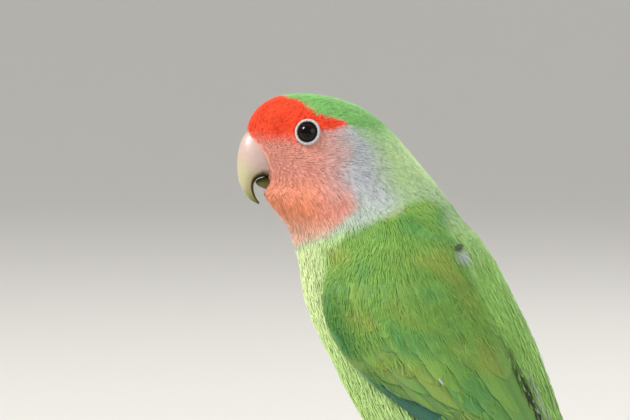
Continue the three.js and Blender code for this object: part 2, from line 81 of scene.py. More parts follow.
def smoothThrough(values, at):  # smooth curve through evenly numbered values
    v = np.asarray(values, float)
    last = len(v) - 1
    at = np.asarray(at, float)
    i = np.clip(np.floor(at).astype(int), 0, last - 1)
    f = at - i
    a, b = v[i], v[i + 1]
    before = np.where(i > 0, v[np.maximum(i - 1, 0)], 2 * a - b)
    after = np.where(i + 2 <= last, v[np.minimum(i + 2, last)], 2 * b - a)
    slopeA, slopeB = (b - before) / 2, (after - a) / 2
    return (
        (2 * f**3 - 3 * f**2 + 1) * a + (f**3 - 2 * f**2 + f) * slopeA
        + (3 * f**2 - 2 * f**3) * b + (f**3 - f**2) * slopeB
    )


def curve(points, at):  # the same through evenly numbered points
    return np.stack([smoothThrough(values, at) for values in np.asarray(points, float).T], axis=-1)


def turnBy(p, angle):
    x, y = p[..., 0] - headTurn["axisX"], p[..., 1]
    return np.stack([
        headTurn["axisX"] + x * np.cos(angle) - y * np.sin(angle),
        x * np.sin(angle) + y * np.cos(angle),
        p[..., 2],
    ], axis=-1)


def turned(place):
    return turnBy(np.array([place]), headTurn["angle"])[0]


def turnShare(p):
    height = p[..., 2] + headTurn["slope"] * (headTurn["axisX"] - p[..., 0])
    return smooth(height, headTurn["start"], headTurn["end"])


def turnHead(p):
    return turnBy(p, headTurn["angle"] * turnShare(p))


def unturnHead(p):  # the place that a point had before the head was turned
    back = p
    for _ in range(6):
        back = turnBy(p, -headTurn["angle"] * turnShare(back))
    return back


# ---- making and finishing pieces
def toFrame(p):
    return (np.asarray(p, float) + [birdPlace["shiftX"], 0, 0]) * birdPlace["scale"]


def insideBox(p):  # in the frame, and never outside the solids' box or under the floor
    return np.clip(toFrame(p), np.array(cadBox[0]), np.array(cadBox[1])).astype(np.float32)


def selectNone():
    if bpy.context.mode != "OBJECT":
        bpy.ops.object.mode_set(mode="OBJECT")
    bpy.ops.object.select_all(action="DESELECT")


def finishPiece(piece, material, slotName, *nodes):
    piece.data.materials.clear()
    piece.data.materials.append(material)
    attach(piece, "root")
    if nodes:
        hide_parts(*nodes)
    return piece


def read(items, key, width=1, kind=float):
    values = np.empty(len(items) * width, kind)
    items.foreach_get(key, values)
    return values.reshape(-1, width) if width > 1 else values


def placesOf(piece):  # in millimetres, before the move to the frame
    return read(piece.data.vertices, "co", 3) / birdPlace["scale"] - [birdPlace["shiftX"], 0, 0]


def paint(mesh, name, rgb):  # a colour for each point, read by the materials
    layer = mesh.color_attributes.new(name, "FLOAT_COLOR", "POINT")
    rgba = np.ones((len(mesh.vertices), 4), np.float32)
    rgba[:, :3] = rgb
    layer.data.foreach_set("color", rgba.ravel())


def paintUv(mesh, name, perPoint):
    layer = mesh.uv_layers.get(name) or mesh.uv_layers.new(name=name)
    corner = read(mesh.loops, "vertex_index", kind=np.int32)
    layer.data.foreach_set("uv", np.asarray(perPoint, np.float32)[corner].ravel())


def meshPiece(name, points, faces, normals=None):  # many small shapes as one joined mesh
    mesh = bpy.data.meshes.new(name)
    points = insideBox(points)
    faces = np.asarray(faces, np.int32)
    mesh.vertices.add(len(points))
    mesh.vertices.foreach_set("co", points.ravel())
    mesh.loops.add(faces.size)
    mesh.loops.foreach_set("vertex_index", faces.ravel())
    mesh.polygons.add(len(faces))
    mesh.polygons.foreach_set("loop_start", np.arange(0, faces.size, faces.shape[1], dtype=np.int32))
    mesh.update(calc_edges=True)
    mesh.shade_smooth()
    if normals is not None:
        mesh.normals_split_custom_set_from_vertices(unit(normals))
    piece = bpy.data.objects.new(name, mesh)
    bpy.context.collection.objects.link(piece)
    return piece


def ballPiece(name, columns, rows, place):
    # A closed round form: a sphere whose rings are set at their stations. place(angle, share) gives
    # millimetres for share 0 at the first pole to 1 at the last
    selectNone()
    bpy.ops.mesh.primitive_uv_sphere_add(segments=columns, ring_count=rows, radius=1)
    piece = bpy.context.object
    piece.name = name
    mesh = piece.data
    co = read(mesh.vertices, "co", 3)
    angle = np.arctan2(co[:, 1], co[:, 0])
    share = np.arccos(np.clip(co[:, 2], -1, 1)) / math.pi
    mesh.vertices.foreach_set("co", insideBox(place(angle, share)).ravel())
    mesh.update()
    outward(piece)
    mesh.shade_smooth()
    return piece, angle, share


def outward(piece):
    selectNone()
    piece.select_set(True)
    bpy.context.view_layer.objects.active = piece
    bpy.ops.object.mode_set(mode="EDIT")
    bpy.ops.mesh.select_all(action="SELECT")
    bpy.ops.mesh.normals_make_consistent(inside=False)
    bpy.ops.object.mode_set(mode="OBJECT")


def joined(parts):  # parts that start with points and faces, put together; the faces are numbered on
    starts = np.cumsum([0] + [len(part[0]) for part in parts[:-1]])
    faces = np.concatenate([part[1] + start for part, start in zip(parts, starts)])
    points, *rest = [np.concatenate([part[k] for part in parts]) for k in range(len(parts[0])) if k != 1]
    return points, faces, *rest


def joinPieces(name, pieces):
    selectNone()
    for piece in pieces:
        piece.select_set(True)
    bpy.context.view_layer.objects.active = pieces[0]
    bpy.ops.object.join()
    pieces[0].name = name
    return pieces[0]


# ---- materials
def addNode(tree, kind, inputs=None, **settings):
    made = tree.nodes.new(kind)
    for key, value in settings.items():
        setattr(made, key, value)
    for key, value in (inputs or {}).items():
        if isinstance(value, bpy.types.NodeSocket):
            tree.links.new(value, made.inputs[key])
        else:
            made.inputs[key].default_value = value
    return made


def newMaterial(name):
    material = bpy.data.materials.new(name)
    material.use_nodes = True
    tree = material.node_tree
    tree.nodes.clear()
    shader = addNode(tree, "ShaderNodeBsdfPrincipled")
    addNode(tree, "ShaderNodeOutputMaterial", {"Surface": shader.outputs["BSDF"]})
    return material, tree, shader


def setShader(shader, **values):
    for key, value in values.items():
        shader.inputs[key.replace("_", " ")].default_value = value


def noise(tree, where, scale, detail):
    return addNode(
        tree, "ShaderNodeTexNoise", {"Vector": where, "Scale": scale, "Detail": detail}
    ).outputs["Fac"]


def between(
    tree, value, low, high, **span
):  # a value that runs from 0 to 1, or as span says, made low to high
    inputs = {key.replace("_", " "): number for key, number in span.items()}
    return addNode(
        tree, "ShaderNodeMapRange", {"Value": value, "To Min": low, "To Max": high, **inputs}
    ).outputs[0]


def calculate(tree, operation, *values):
    return addNode(tree, "ShaderNodeMath", dict(enumerate(values)), operation=operation).outputs[0]


def objectPlace(tree):
    return addNode(tree, "ShaderNodeTexCoord").outputs["Object"]


def shadeTint(tree, shader, level):  # the painted colour, made lighter and darker by level
    tint = addNode(tree, "ShaderNodeVertexColor", layer_name="tint").outputs["Color"]
    shade = addNode(tree, "ShaderNodeVectorMath", {0: tint, "Scale": level}, operation="SCALE")
    tree.links.new(shade.outputs["Vector"], shader.inputs["Base Color"])


def addBump(tree, shader, height, strength, distance):  # distance in metres
    bump = addNode(tree, "ShaderNodeBump", {"Height": height, "Strength": strength, "Distance": distance})
    tree.links.new(bump.outputs["Normal"], shader.inputs["Normal"])


def plumageMaterial():
    # Contour feathers: keratin barbs too fine to see singly, so matt and soft with a faint sheen.
    # Barbs are 0.05 mm apart, drawn as 0.3 mm streaks so that they show
    material, tree, shader = newMaterial("contour feather")
    where = objectPlace(tree)
    cloud, fine = noise(tree, where, 260.0, 3.0), noise(tree, where, 3000.0, 2.0)
    level = calculate(tree, "MULTIPLY", between(tree, cloud, 1.0, 1.2), between(tree, fine, 0.85, 1.15))
    shadeTint(tree, shader, level)
    addBump(tree, shader, fine, 0.25, 0.0002)
    setShader(
        shader, Roughness=0.78, IOR=1.54, Specular_IOR_Level=0.25, Sheen_Weight=0.15, Sheen_Roughness=0.5
    )
    return material


def vaneMaterial():
    # Flight feathers and coverts: flat webs of hooked barbs on a shaft, smoother and a little glossy.
    # Barbs run out from the shaft at about 40 degrees, 0.1 mm apart, drawn as 0.36 mm
    barbs = {"spacing": 0.36, "angle": math.radians(38), "wobble": 0.5}
    material, tree, shader = newMaterial("vaned feather")
    uv = addNode(tree, "ShaderNodeUVMap", uv_map="barbs").outputs["UV"]
    sides = addNode(tree, "ShaderNodeSeparateXYZ", {"Vector": uv}).outputs
    across = calculate(tree, "MULTIPLY", calculate(tree, "ABSOLUTE", sides["X"]), -math.cos(barbs["angle"]))
    along = calculate(tree, "MULTIPLY", sides["Y"], math.sin(barbs["angle"]))
    count = calculate(tree, "ADD", across, along)
    bent = calculate(tree, "MULTIPLY_ADD", noise(tree, uv, 1.6, 2.0), barbs["wobble"], count)
    wave = calculate(tree, "SINE", calculate(tree, "MULTIPLY", bent, 2 * math.pi / barbs["spacing"]))
    split = between(tree, noise(tree, uv, 5.0, 3.0), 0.84, 1.16)
    shadeTint(
        tree, shader, calculate(tree, "MULTIPLY", between(tree, wave, 0.86, 1.1, From_Min=-1.0), split)
    )
    addBump(tree, shader, wave, 0.5, 0.00006)
    setShader(
        shader, Roughness=0.66, IOR=1.54, Specular_IOR_Level=0.3, Sheen_Weight=0.12, Sheen_Roughness=0.5
    )
    return material


def hornMaterial(name, roughness):
    # Keratin horn of the bill and claws: satin, slightly see-through, with fine growth lines
    material, tree, shader = newMaterial(name)
    where = objectPlace(tree)
    stretched = addNode(
        tree, "ShaderNodeMapping", {"Vector": where, "Scale": (1.0, 1.0, 4.0)}
    ).outputs["Vector"]
    lines = noise(tree, stretched, 420.0, 4.0)
    gloss = between(tree, noise(tree, where, 1500.0, 3.0), roughness - 0.08, roughness + 0.12)
    tree.links.new(gloss, shader.inputs["Roughness"])
    shadeTint(tree, shader, between(tree, lines, 0.9, 1.08))
    addBump(tree, shader, lines, 0.25, 0.0001)
    setShader(shader, IOR=1.54, Subsurface_Weight=0.15, Subsurface_Scale=0.001)
    return material


def skinMaterial(name, roughness, grain):
    # Bare skin of the eye ring and feet: dry and finely scaled
    material, tree, shader = newMaterial(name)
    where = objectPlace(tree)
    cells = addNode(tree, "ShaderNodeTexVoronoi", {"Vector": where, "Scale": grain}).outputs["Distance"]
    cloud = between(tree, noise(tree, where, 500.0, 3.0), 0.88, 1.12)
    shadeTint(
        tree, shader, calculate(tree, "MULTIPLY", between(tree, cells, 1.08, 0.82, From_Max=0.6), cloud)
    )
    addBump(tree, shader, cells, 0.4, -0.00012)
    setShader(shader, Roughness=roughness, IOR=1.45, Subsurface_Weight=0.1, Subsurface_Scale=0.0008)
    return material


def corneaMaterial():
    # Wet cornea over a dark brown iris: a mirror-like coat that carries the small highlight of the key light
    material, tree, shader = newMaterial("wet cornea")
    shadeTint(tree, shader, between(tree, noise(tree, objectPlace(tree), 1800.0, 2.0), 0.8, 1.2))
    coat = {"Coat_Weight": 0.6, "Coat_Roughness": 0.02, "Coat_IOR": 1.35}
    setShader(shader, Roughness=0.4, IOR=1.38, Specular_IOR_Level=0.0, **coat)
    return material


finish = {
    "plumage": plumageMaterial(),
    "vane": vaneMaterial(),
    "bill": hornMaterial("keratin horn of the bill", 0.34),
    "claw": hornMaterial("keratin horn of the claws", 0.4),
    "lid": skinMaterial("bare eye-ring skin", 0.55, 2600.0),
    "foot": skinMaterial("scaled foot skin", 0.62, 1700.0),
    "eye": corneaMaterial(),
}
print("materials made")

# ---- body surface, the same stations as the solids: height, front, back, half width, front narrowing
bodyShape = {
    "z": [
        134.1, 133.3, 131.2, 128, 124, 119, 113.5, 109.8, 106.2, 102.3, 98, 92, 84, 76, 68, 60, 52, 44, 37,
        31.5, 27.5, 25.5
    ],
    "front": [
        0, -6.2, -10.2, -12.8, -13.6, -11.5, -8.6, -9.6, -7.2, -4.3, -2.9, -1.2, 0.4, 4, 8.6, 13, 18, 23.6,
        29.6, 36, 43, 57
    ],
    "back": [
        0, 6.6, 13.4, 18.4, 22.6, 26.9, 31.5, 35, 38.6, 42.3, 46.8, 49.8, 52.8, 56, 59.3, 62.3, 65.2, 68.4,
        71, 72.5, 71, 57
    ],
    "half": [
        0, 5.6, 8.9, 11.1, 12.5, 13.1, 13.6, 14.1, 15, 16.4, 17.8, 18.9, 19.6, 19.8, 19.4, 18.6, 17.4, 15.6,
        13.2, 10.4, 7, 0
    ],
    "egg": [
        0.15, 0.18, 0.22, 0.26, 0.28, 0.26, 0.2, 0.14, 0.08, 0.03, 0, 0, 0, 0, 0, 0, 0.02, 0.04, 0.04, 0.04,
        0.02, 0
    ],
    # how deep the plumage is there
    "coat": [0.5, 0.5, 0.5, 0.5, 0.5, 0.5, 0.55, 0.65, 0.9, 1.2, 1.5, 1.8, 2, 2, 2, 2, 2, 2, 2, 2, 2, 1.8],
    "columns": 144, "rows": 170,
}


def stationAt(key, z):
    return np.interp(z, bodyShape["z"][::-1], bodyShape[key][::-1])


def bodyPoint(angle, at, grow=0.0):  # before the head is turned; angle 0 is the front
    values = {k: smoothThrough(bodyShape[k], at) for k in ("z", "front", "back", "half", "egg")}
    front, back = values["front"] - grow, values["back"] + grow
    half = np.maximum(np.maximum(values["half"], 0) + grow, 0)
    rise = grow * np.cos(math.pi * at / (len(bodyShape["z"]) - 1))
    x = (front + back) / 2 - (back - front) / 2 * np.cos(angle)
    y = half * np.sin(angle) * (1 - values["egg"] * np.cos(angle))
    return np.stack([x, -y, values["z"] + rise], axis=-1)


# ---- markings, measured from the side: u runs back from the eye, z is the height
markings = {
    # u at the head's axis, and the shares of x and y in a width seen from 30 degrees behind the side
    "eyeToAxis": 11, "slant": (0.866, 0.5),
    # brow: height of its upper edge along u, and of its lower edge
    "browTopU": [-14, -6.9, -3.1, -0.6, 1.9, 5, 7.8, 9.3, 11],
    "browTop": [135, 133.3, 132.4, 130.9, 129.3, 128.4, 127.4, 126.6, 125.2],
    "browLowU": [-14, -9, -4.4, 0, 3.4, 6.2, 9.3],
    "browLow": [124.6, 124.4, 124.2, 124.6, 125.2, 125.2, 126.2],
    # the shoulder plumage: its upper edge, and its rear edge at the pale strip down the back
    "shoulderU": [6, 8, 10, 15, 20, 25, 32],
    "shoulderTop": [97, 101, 102.8, 105.4, 107.6, 109, 107],
    "stripZ": [57, 85.4, 91.3, 104.2],
    "stripU": [54.3, 41.6, 38, 32.1],
    # rear edge of the peach face, and of the grey-blue band behind it, along z
    "faceZ": [93, 97.6, 99.4, 102.2, 104.8, 106.9, 108.4, 114.7, 119.7, 124.6, 127],
    "faceU": [-12, -2.5, 1.6, 6.2, 9.6, 11.4, 10.9, 8.6, 8.9, 8, 8.6],
    "bandZ": [91, 97, 99.1, 101.3, 103.5, 106, 108.4, 114.7, 120.9, 124.9, 128.5],
    "bandU": [-12, -2, 3.1, 9.3, 15.5, 20.5, 20.8, 18, 16.5, 12.4, 9.6],
}
plumageColours = linearColours({
    "brow": "#F04A22", "browDeep": "#E63C18", "face": "#DE9484", "faceLight": "#CCA29D",
    "throat": "#E68D6A",
    "throatLow": "#EBB9A2", "band": "#B8BCC1", "bandEdge": "#AEBFAC", "crown": "#78B562",
    "nape": "#BAD99C", "neck": "#A3C08F",
    "mantle": "#9CC674", "breast": "#D2E6A4", "belly": "#ADD478", "rump": "#2F8FD0", "vent": "#8CC47A",
})


def ripple(p, size, seed):  # soft random field, about -1 to 1, with waves of the given size in mm
    draw = np.random.default_rng(seed)
    total = np.zeros(len(p))
    for _ in range(6):
        way = unit(draw.normal(size=3))
        total += np.sin(p @ way * (2 * math.pi / (size * draw.uniform(0.7, 1.5))) + draw.uniform(0, 6.3))
    return total / 3


# wing surface, the same rows as the solids, and its colours
wingShape = {
    "lead": [(21.0, -15.5, 99.0), (15.5, -18.5, 90.0), (15.2, -20.0, 82.0), (19.2, -20.5, 73.0),
             (26.0, -20.0, 65.0),
             (36.0, -18.5, 58.5), (47.0, -16.0, 50.5), (59.0, -13.0, 41.0), (72.0, -9.5, 31.0),
             (84.5, -6.4, 21.0)],
    "inner": [(38.0, -9.5, 101.5), (45.5, -8.0, 94.0), (52.2, -6.6, 84.0), (57.6, -5.8, 75.0),
              (62.4, -4.8, 65.0),
              (67.0, -3.8, 54.5), (72.0, -3.0, 44.5), (77.2, -2.6, 35.5), (82.8, -2.6, 27.0),
              (88.0, -2.8, 19.5)],
    "bulge": [3.0, 7.0, 8.0, 8.2, 7.8, 6.8, 5.2, 3.4, 1.8, 0.4],
    "coreTop": -1.8, "coreEnd": 0.6,
}
wingColours = linearColours({
    "covert": "#78A54A", "edge": "#8FB45C", "centre": "#5C8C3E", "secondary": "#648F46",
    "primary": "#4C855A",
    "teal": "#2C6650", "shaft": "#4A7434", "olive": "#91A64C", "cool": "#5A9A54", "pale": "#9DBFA0",
})


def wingMottle(p):  # soft olive and blue-green patches over the whole wing, with painted shade along the lower part of its front edge
    patch = ripple(p, 13, 12) + 0.35 * ripple(p, 5, 13)
    tint = mix(wingColours["covert"], wingColours["olive"], smooth(patch, 0.1, 1.2) * 0.85)
    tint = mix(tint, wingColours["cool"], smooth(patch, -0.1, -1.2) * 0.75)
    # painted shade: the wing darker toward its lower front edge, most in red
    lead = np.array(wingShape["lead"])[::-1]
    front = smooth(p[:, 0] - np.interp(p[:, 2], lead[:, 2], lead[:, 0]), 14, 2)
    front = front * smooth(p[:, 2], 92, 82)
    return tint * (1 - front[:, None] * [0.56, 0.4, 0.5])


def plumageTint(p0):  # p0 is the place before the head is turned
    left = headTurn["angle"] * (1 - turnShare(p0))
    x, y, z = p0.T
    u = markings["eyeToAxis"] + (x - headTurn["axisX"]) * np.cos(left) - np.abs(y) * np.sin(left)
    wave = 0.7 * ripple(p0, 5, 3) + 0.4 * ripple(p0, 1.8, 4)
    colour = plumageColours

    def past(value, along, edge):  # how far value lies past an edge of the markings
        return value - np.interp(along, markings[edge[0]], markings[edge[1]])

    fromFront, fromBack = x - stationAt("front", z), stationAt("back", z) - x
    body = mix(colour["crown"], colour["nape"], smooth(z, 130, 119))
    body = mix(body, colour["neck"], smooth(z, 115, 109))
    body = mix(body, colour["mantle"], smooth(z, 107, 98))
    frontness = smooth(fromFront, 26, 6)
    body = mix(body, colour["breast"], frontness * smooth(z, 112, 102))
    body = mix(body, colour["belly"], frontness * smooth(z, 92, 60))
    body = mix(
        body, colour["rump"],
        smooth(fromBack, 14, 5) * smooth(z, 58, 50) * smooth(z, 30, 36) * smooth(np.abs(y), 11, 6)
    )
    slant = markings["slant"][0] * x - markings["slant"][1] * np.abs(y)
    shoulder = smooth(past(z, slant, ("shoulderU", "shoulderTop")), 1.3, -1.3)
    shoulder = shoulder * smooth(past(slant, z, ("stripZ", "stripU")), 1.6, -1.6)
    shoulder = shoulder * smooth(fromFront, 13, 19) * smooth(z, 62, 70)
    body = mix(body, wingMottle(np.stack([x, -np.abs(y), z], axis=-1)), shoulder)
    face = mix(colour["face"], colour["faceLight"], smooth(u, 0, 8) * smooth(z, 105, 114))
    face = mix(face, colour["throat"], smooth(z, 117, 106) * smooth(u, 8, -2))
    face = mix(face, colour["throatLow"], smooth(z, 105.5, 98.5))
    face = mix(face, colour["brow"], smooth(z, 121, 124.5) * smooth(u, 2, -6) * 0.12)
    band = mix(colour["band"], colour["bandEdge"], smooth(z, 113, 101))
    faceEdge = past(u, z, ("faceZ", "faceU")) + wave * 0.7
    bandEdge = past(u, z, ("bandZ", "bandU")) + wave * 0.9
    tint = mix(body, band, smooth(bandEdge, 4.2, -4.4))
    tint = mix(tint, face, smooth(faceEdge, 2.4, -2.4))
    overBrow = past(z, u, ("browTopU", "browTop")) + wave * 0.2
    tint = mix(tint, colour["crown"], smooth(overBrow, -0.3, 0.5) * smooth(z, 125, 127))
    brow = mix(colour["brow"], colour["browDeep"], 0.5 + 0.5 * wave)
    low = past(z, u, ("browLowU", "browLow")) + 0.5 * wave
    inBrow = smooth(
        low, -3.6 + 3 * smooth(u, -3, 2), 1.0
    ) * smooth(overBrow, 0.4, -0.4) * smooth(u, 10.8, 8.6)
    return mix(tint, brow, inBrow)


# ---- skin: one closed form for head, neck, body and thighs
legShape = {
    "thighTop": [37.5, 9, 36], "ankle": [46, 11, 16], "thighRadii": [9.6, 8, 3.6],
    "thighBend": [1.2, 0, 0.4], "thighCoat": 1.2, "foot": [40, 11.5, 3.4],
    "fillet": 10.0, "tarsus": [2.4, 2.0, 2.5], "toeBase": 2.0, "toeTip": 1.35, "soleDepth": 0.28,
    "claw": 5.2,
    # toe number: heading from straight ahead towards the outside, length
    "toes": {1: (-158, 8.5), 2: (-16, 11.5), 3: (14, 15.5), 4: (150, 13.0)},
}


def limbPoint(path, radii, angle, share, grow=0.0):
    # round limb along a bent path; the first and last tenth of share close its ends
    path = np.asarray(path, float)
    inner = np.clip((share - 0.1) / 0.8, 0, 1)
    at = inner * (len(path) - 1)
    centre = curve(path, at)
    ahead = unit(curve(path, at + 0.02) - curve(path, at - 0.02))
    radius = smoothThrough(radii, inner * (len(radii) - 1)) + grow
    end = np.where(
        share < 0.1, (0.1 - share) / 0.1, np.where(share > 0.9, (share - 0.9) / 0.1, 0)
    ) * math.pi / 2
    centre = centre + ahead * (radius * np.sin(end) * np.where(share < 0.5, -0.85, 0.85))[:, None]
    side = unit(np.cross(ahead, [0.0, 1.0, 0.0]))
    up = np.cross(side, ahead)
    out = side * np.cos(angle)[:, None] + up * np.sin(angle)[:, None]
    return centre + out * (radius * np.cos(end))[:, None], out


def thighPath(side):
    top, ankle = (np.array(legShape[key]) * [1, side, 1] for key in ("thighTop", "ankle"))
    return [top, (top + ankle) / 2 + legShape["thighBend"], ankle]


def thighBalls():  # the thighs as centres and radii of balls along them
    return [
        (curve(thighPath(side), at), float(smoothThrough(legShape["thighRadii"], at)))
        for side in (-1, 1) for at in np.linspace(0, 2, 9)
    ]


def bodyGap(p):  # about how far a point stands off the body, and the way out of it
    front, back, half = (stationAt(key, p[:, 2]) for key in ("front", "back", "half"))
    wide, deep = np.maximum(half, 1), np.maximum((back - front) / 2, 1)
    x = p[:, 0] - (front + back) / 2
    out = unit(np.stack([x / deep**2, p[:, 1] / wide**2, np.zeros(len(p))], axis=-1))
    return (np.hypot(x / deep, p[:, 1] / wide) - 1) * np.minimum(wide, deep), out


def thighGap(p):
    balls = thighBalls()
    gaps = np.array([np.linalg.norm(p - centre, axis=-1) - radius for centre, radius in balls])
    nearest = np.array([centre for centre, _ in balls])[gaps.argmin(axis=0)]
    return gaps.min(axis=0), unit(p - nearest)


def fillet(p, gap, out):  # swells one form where it runs close to the other, so that they meet softly
    near = np.clip(1 - np.abs(gap) / legShape["fillet"], 0, 1)
    return p + out * (near**2 * legShape["fillet"] / 4)[:, None]


def makeSkin():
    last = len(bodyShape["z"]) - 1

    def atOf(share):
        return 0.12 + share * (last - 0.24)

    def straight(angle, share):
        at = atOf(share)
        p = bodyPoint(angle, at, -smoothThrough(bodyShape["coat"], at))
        return fillet(p, thighGap(p)[0], bodyGap(p)[1])

    skin, angle, share = ballPiece(
        "skin", bodyShape["columns"], bodyShape["rows"], lambda a, s: turnHead(straight(a, s))
    )
    rest = [straight(angle, share)]
    thighs = []
    for side in (-1, 1):
        def thigh(a, s, side=side):
            p = limbPoint(thighPath(side), legShape["thighRadii"], a, s, -legShape["thighCoat"])[0]
            return fillet(p, bodyGap(p)[0], thighGap(p)[1])

        piece, a, s = ballPiece("thigh", 40, 36, thigh)
        rest.append(thigh(a, s))
        thighs.append(piece)
    for i, piece in enumerate([skin] + thighs):
        layer = piece.data.uv_layers[0]
        layer.name = "OFBake"
        uv = read(layer.data, "uv", 2)
        if i == 0:
            uv[:, 1] = 0.14 + 0.86 * uv[:, 1]
        else:
            uv = uv * [0.45, 0.12] + [0.5 * (i - 1) + 0.02, 0.005]
        layer.data.foreach_set("uv", uv.ravel())
    piece = joinPieces("skin", [skin] + thighs)
    paint(piece.data, "tint", plumageTint(np.concatenate(rest)))
    return piece


skin = makeSkin()
finishPiece(skin, finish["plumage"], "green_plumage", "head", "neck", "torso", "thigh_left", "thigh_right")
print("skin made", len(skin.data.polygons))


def surfaceArrays(piece):
    mesh = piece.data
    mesh.calc_loop_triangles()
    corners = read(mesh.loop_triangles, "loops", 3, np.int32)
    return {
        "co": placesOf(piece), "normal": read(mesh.vertices, "normal", 3),
        "tris": read(mesh.loop_triangles, "vertices", 3, np.int32),
        "uv": read(mesh.uv_layers["OFBake"].data, "uv", 2)[corners],
    }


skinData = surfaceArrays(skin)
skinTree = BVHTree.FromPolygons(skinData["co"].tolist(), skinData["tris"].tolist())


# ---- eyes
eyeShape = {"station": 3.82, "angle": math.radians(81), "radius": 3.0, "depth": 1.95, "ring": 2.78,
            "ringTube": 0.4,
            "bare": 3.2}


def eyeSeat(side):
    a, at, step = np.array([eyeShape["angle"]]), np.array([eyeShape["station"]]), 0.02
    p = bodyPoint(a, at)
    out = unit(np.cross(bodyPoint(a + step, at) - p, bodyPoint(a, at + step) - p))
    out *= -np.sign(out[:, 1:2])
    flip = np.array([1, -side, 1])
    p, out = p * flip, out * flip
    seat = turnBy(p, headTurn["angle"])
    return seat[0], (turnBy(p + out, headTurn["angle"]) - seat)[0]


eyes = {side: eyeSeat(side) for side in (-1, 1)}

# ---- bill, in profile
billShape = {
    "culmen": [
        (-11.4, 126.0), (-14.2, 123.6), (-15.5, 120.2), (-15.9, 116.6), (-15.6, 113.2), (-14.6, 110.4),
        (-12.9, 108.1), (-10.7, 106.8)
    ],
    "inner": [
        (-4.6, 114.6), (-7.0, 114.0), (-8.6, 113.6), (-10.2, 113.4), (-11.4, 112.6), (-11.9, 110.8),
        (-11.4, 108.7), (-10.4, 107.1)
    ],
    "half": [5.0, 5.0, 4.7, 4.1, 3.2, 2.1, 1.0, 0.25],
    "lowerTop": [(-3.5, 114.2), (-6.5, 114.0), (-8.8, 113.6), (-10.6, 113.0), (-11.4, 112.5)],
    "lowerBottom": [(-3.5, 109.6), (-6.6, 109.9), (-8.9, 110.4), (-10.7, 111.2), (-11.4, 112.0)],
    "lowerHalf": [2.9, 2.8, 2.5, 1.9, 0.9], "end": 0.06,
    # inside and lower carry painted shade: inside darkens the gape at the rear underside of the upper bill,
    # lower is the lower mandible's stain darkened where it lies under the upper one
    "colours": {
        "base": "#C4AAA2", "middle": "#BBB58C", "stain": "#757A26", "tip": "#4A4E10", "inside": "#33310E",
        "lower": "#5A5618"
    },
}


def billRows(share, keys):
    # how far along from root to tip, the two edges and the half width there, and a value that closes the ends
    end = billShape["end"]
    along = np.clip((share - end) / (1 - 2 * end), 0, 1)
    at = along * (len(billShape[keys[0]]) - 1)
    close = np.clip(np.minimum(share, 1 - share) / end, 0, 1)
    edges = [curve(billShape[key], at) for key in keys[:2]]
    return along, *edges, smoothThrough(billShape[keys[2]], at), close


def upperBillPoint(angle, share):
    along, culmen, under, half, close = billRows(share, ("culmen", "inner", "half"))
    depth = 0.5 - 0.5 * np.cos(angle)
    profile = culmen + (under - culmen) * (depth**0.9)[:, None]
    wide = np.sin(angle) * (0.8 + 0.2 * depth) * half
    centre = (culmen + under) / 2
    profile = centre + (profile - centre) * close[:, None]
    p = np.stack([profile[:, 0], wide * close, profile[:, 1]], axis=-1)
    return turnBy(p, headTurn["angle"]), along, depth


def lowerBillPoint(angle, share):
    _, top, low, half, close = billRows(share, ("lowerTop", "lowerBottom", "lowerHalf"))
    middle = (top + low) / 2
    rise = (top[:, 1] - low[:, 1]) / 2
    p = np.stack(
        [middle[:, 0], np.sin(angle) * half * close, middle[:, 1] + np.cos(angle) * rise * close], axis=-1
    )
    return turnBy(p, headTurn["angle"])


def makeBill():
    colours = linearColours(billShape["colours"])
    upper, angle, share = ballPiece("billUpper", 56, 70, lambda a, s: upperBillPoint(a, s)[0])
    _, along, depth = upperBillPoint(angle, share)
    tint = mix(colours["base"], colours["middle"], smooth(along, 0.2, 0.55))
    stain = np.clip(
        smooth(along, 0.6, 0.92) * 0.9 + smooth(depth, 0.66, 0.9) * smooth(along, 0.2, 0.5), 0, 1
    )
    tint = mix(tint, colours["stain"], stain)
    tint = mix(tint, colours["tip"], smooth(along, 0.84, 1.0))
    # painted shade at the gape: the rear underside of the upper bill darkened
    tint = mix(tint, colours["inside"], smooth(depth, 0.7, 0.86) * smooth(along, 0.12, 0.3))
    paint(upper.data, "tint", tint)
    finishPiece(upper, finish["bill"], "bill_horn", "bill_upper")
    lower, _, share = ballPiece("billLower", 48, 40, lowerBillPoint)
    # the lower mandible: its olive stain, darkened all over as painted shade where it lies tucked under the
    # upper mandible
    paint(lower.data, "tint", mix(colours["stain"] * 0.6, colours["lower"], smooth(share, 0.1, 0.5)))
    finishPiece(lower, finish["bill"], "bill_horn", "bill_lower")
    return upper, lower


upperBill, lowerBill = makeBill()
print("bill made")


def treeOf(piece):
    return BVHTree.FromPolygons(placesOf(piece).tolist(), [list(p.vertices) for p in piece.data.polygons])


billTrees = [treeOf(upperBill), treeOf(lowerBill)]


def nearBill(points, margin):
    inside = np.zeros(len(points), bool)
    for tree in billTrees:
        for i, p in enumerate(points.tolist()):
            where, normal, _, distance = tree.find_nearest(p)
            if distance < margin or (Vector(p) - where).dot(normal) < 0:
                inside[i] = True
    return inside


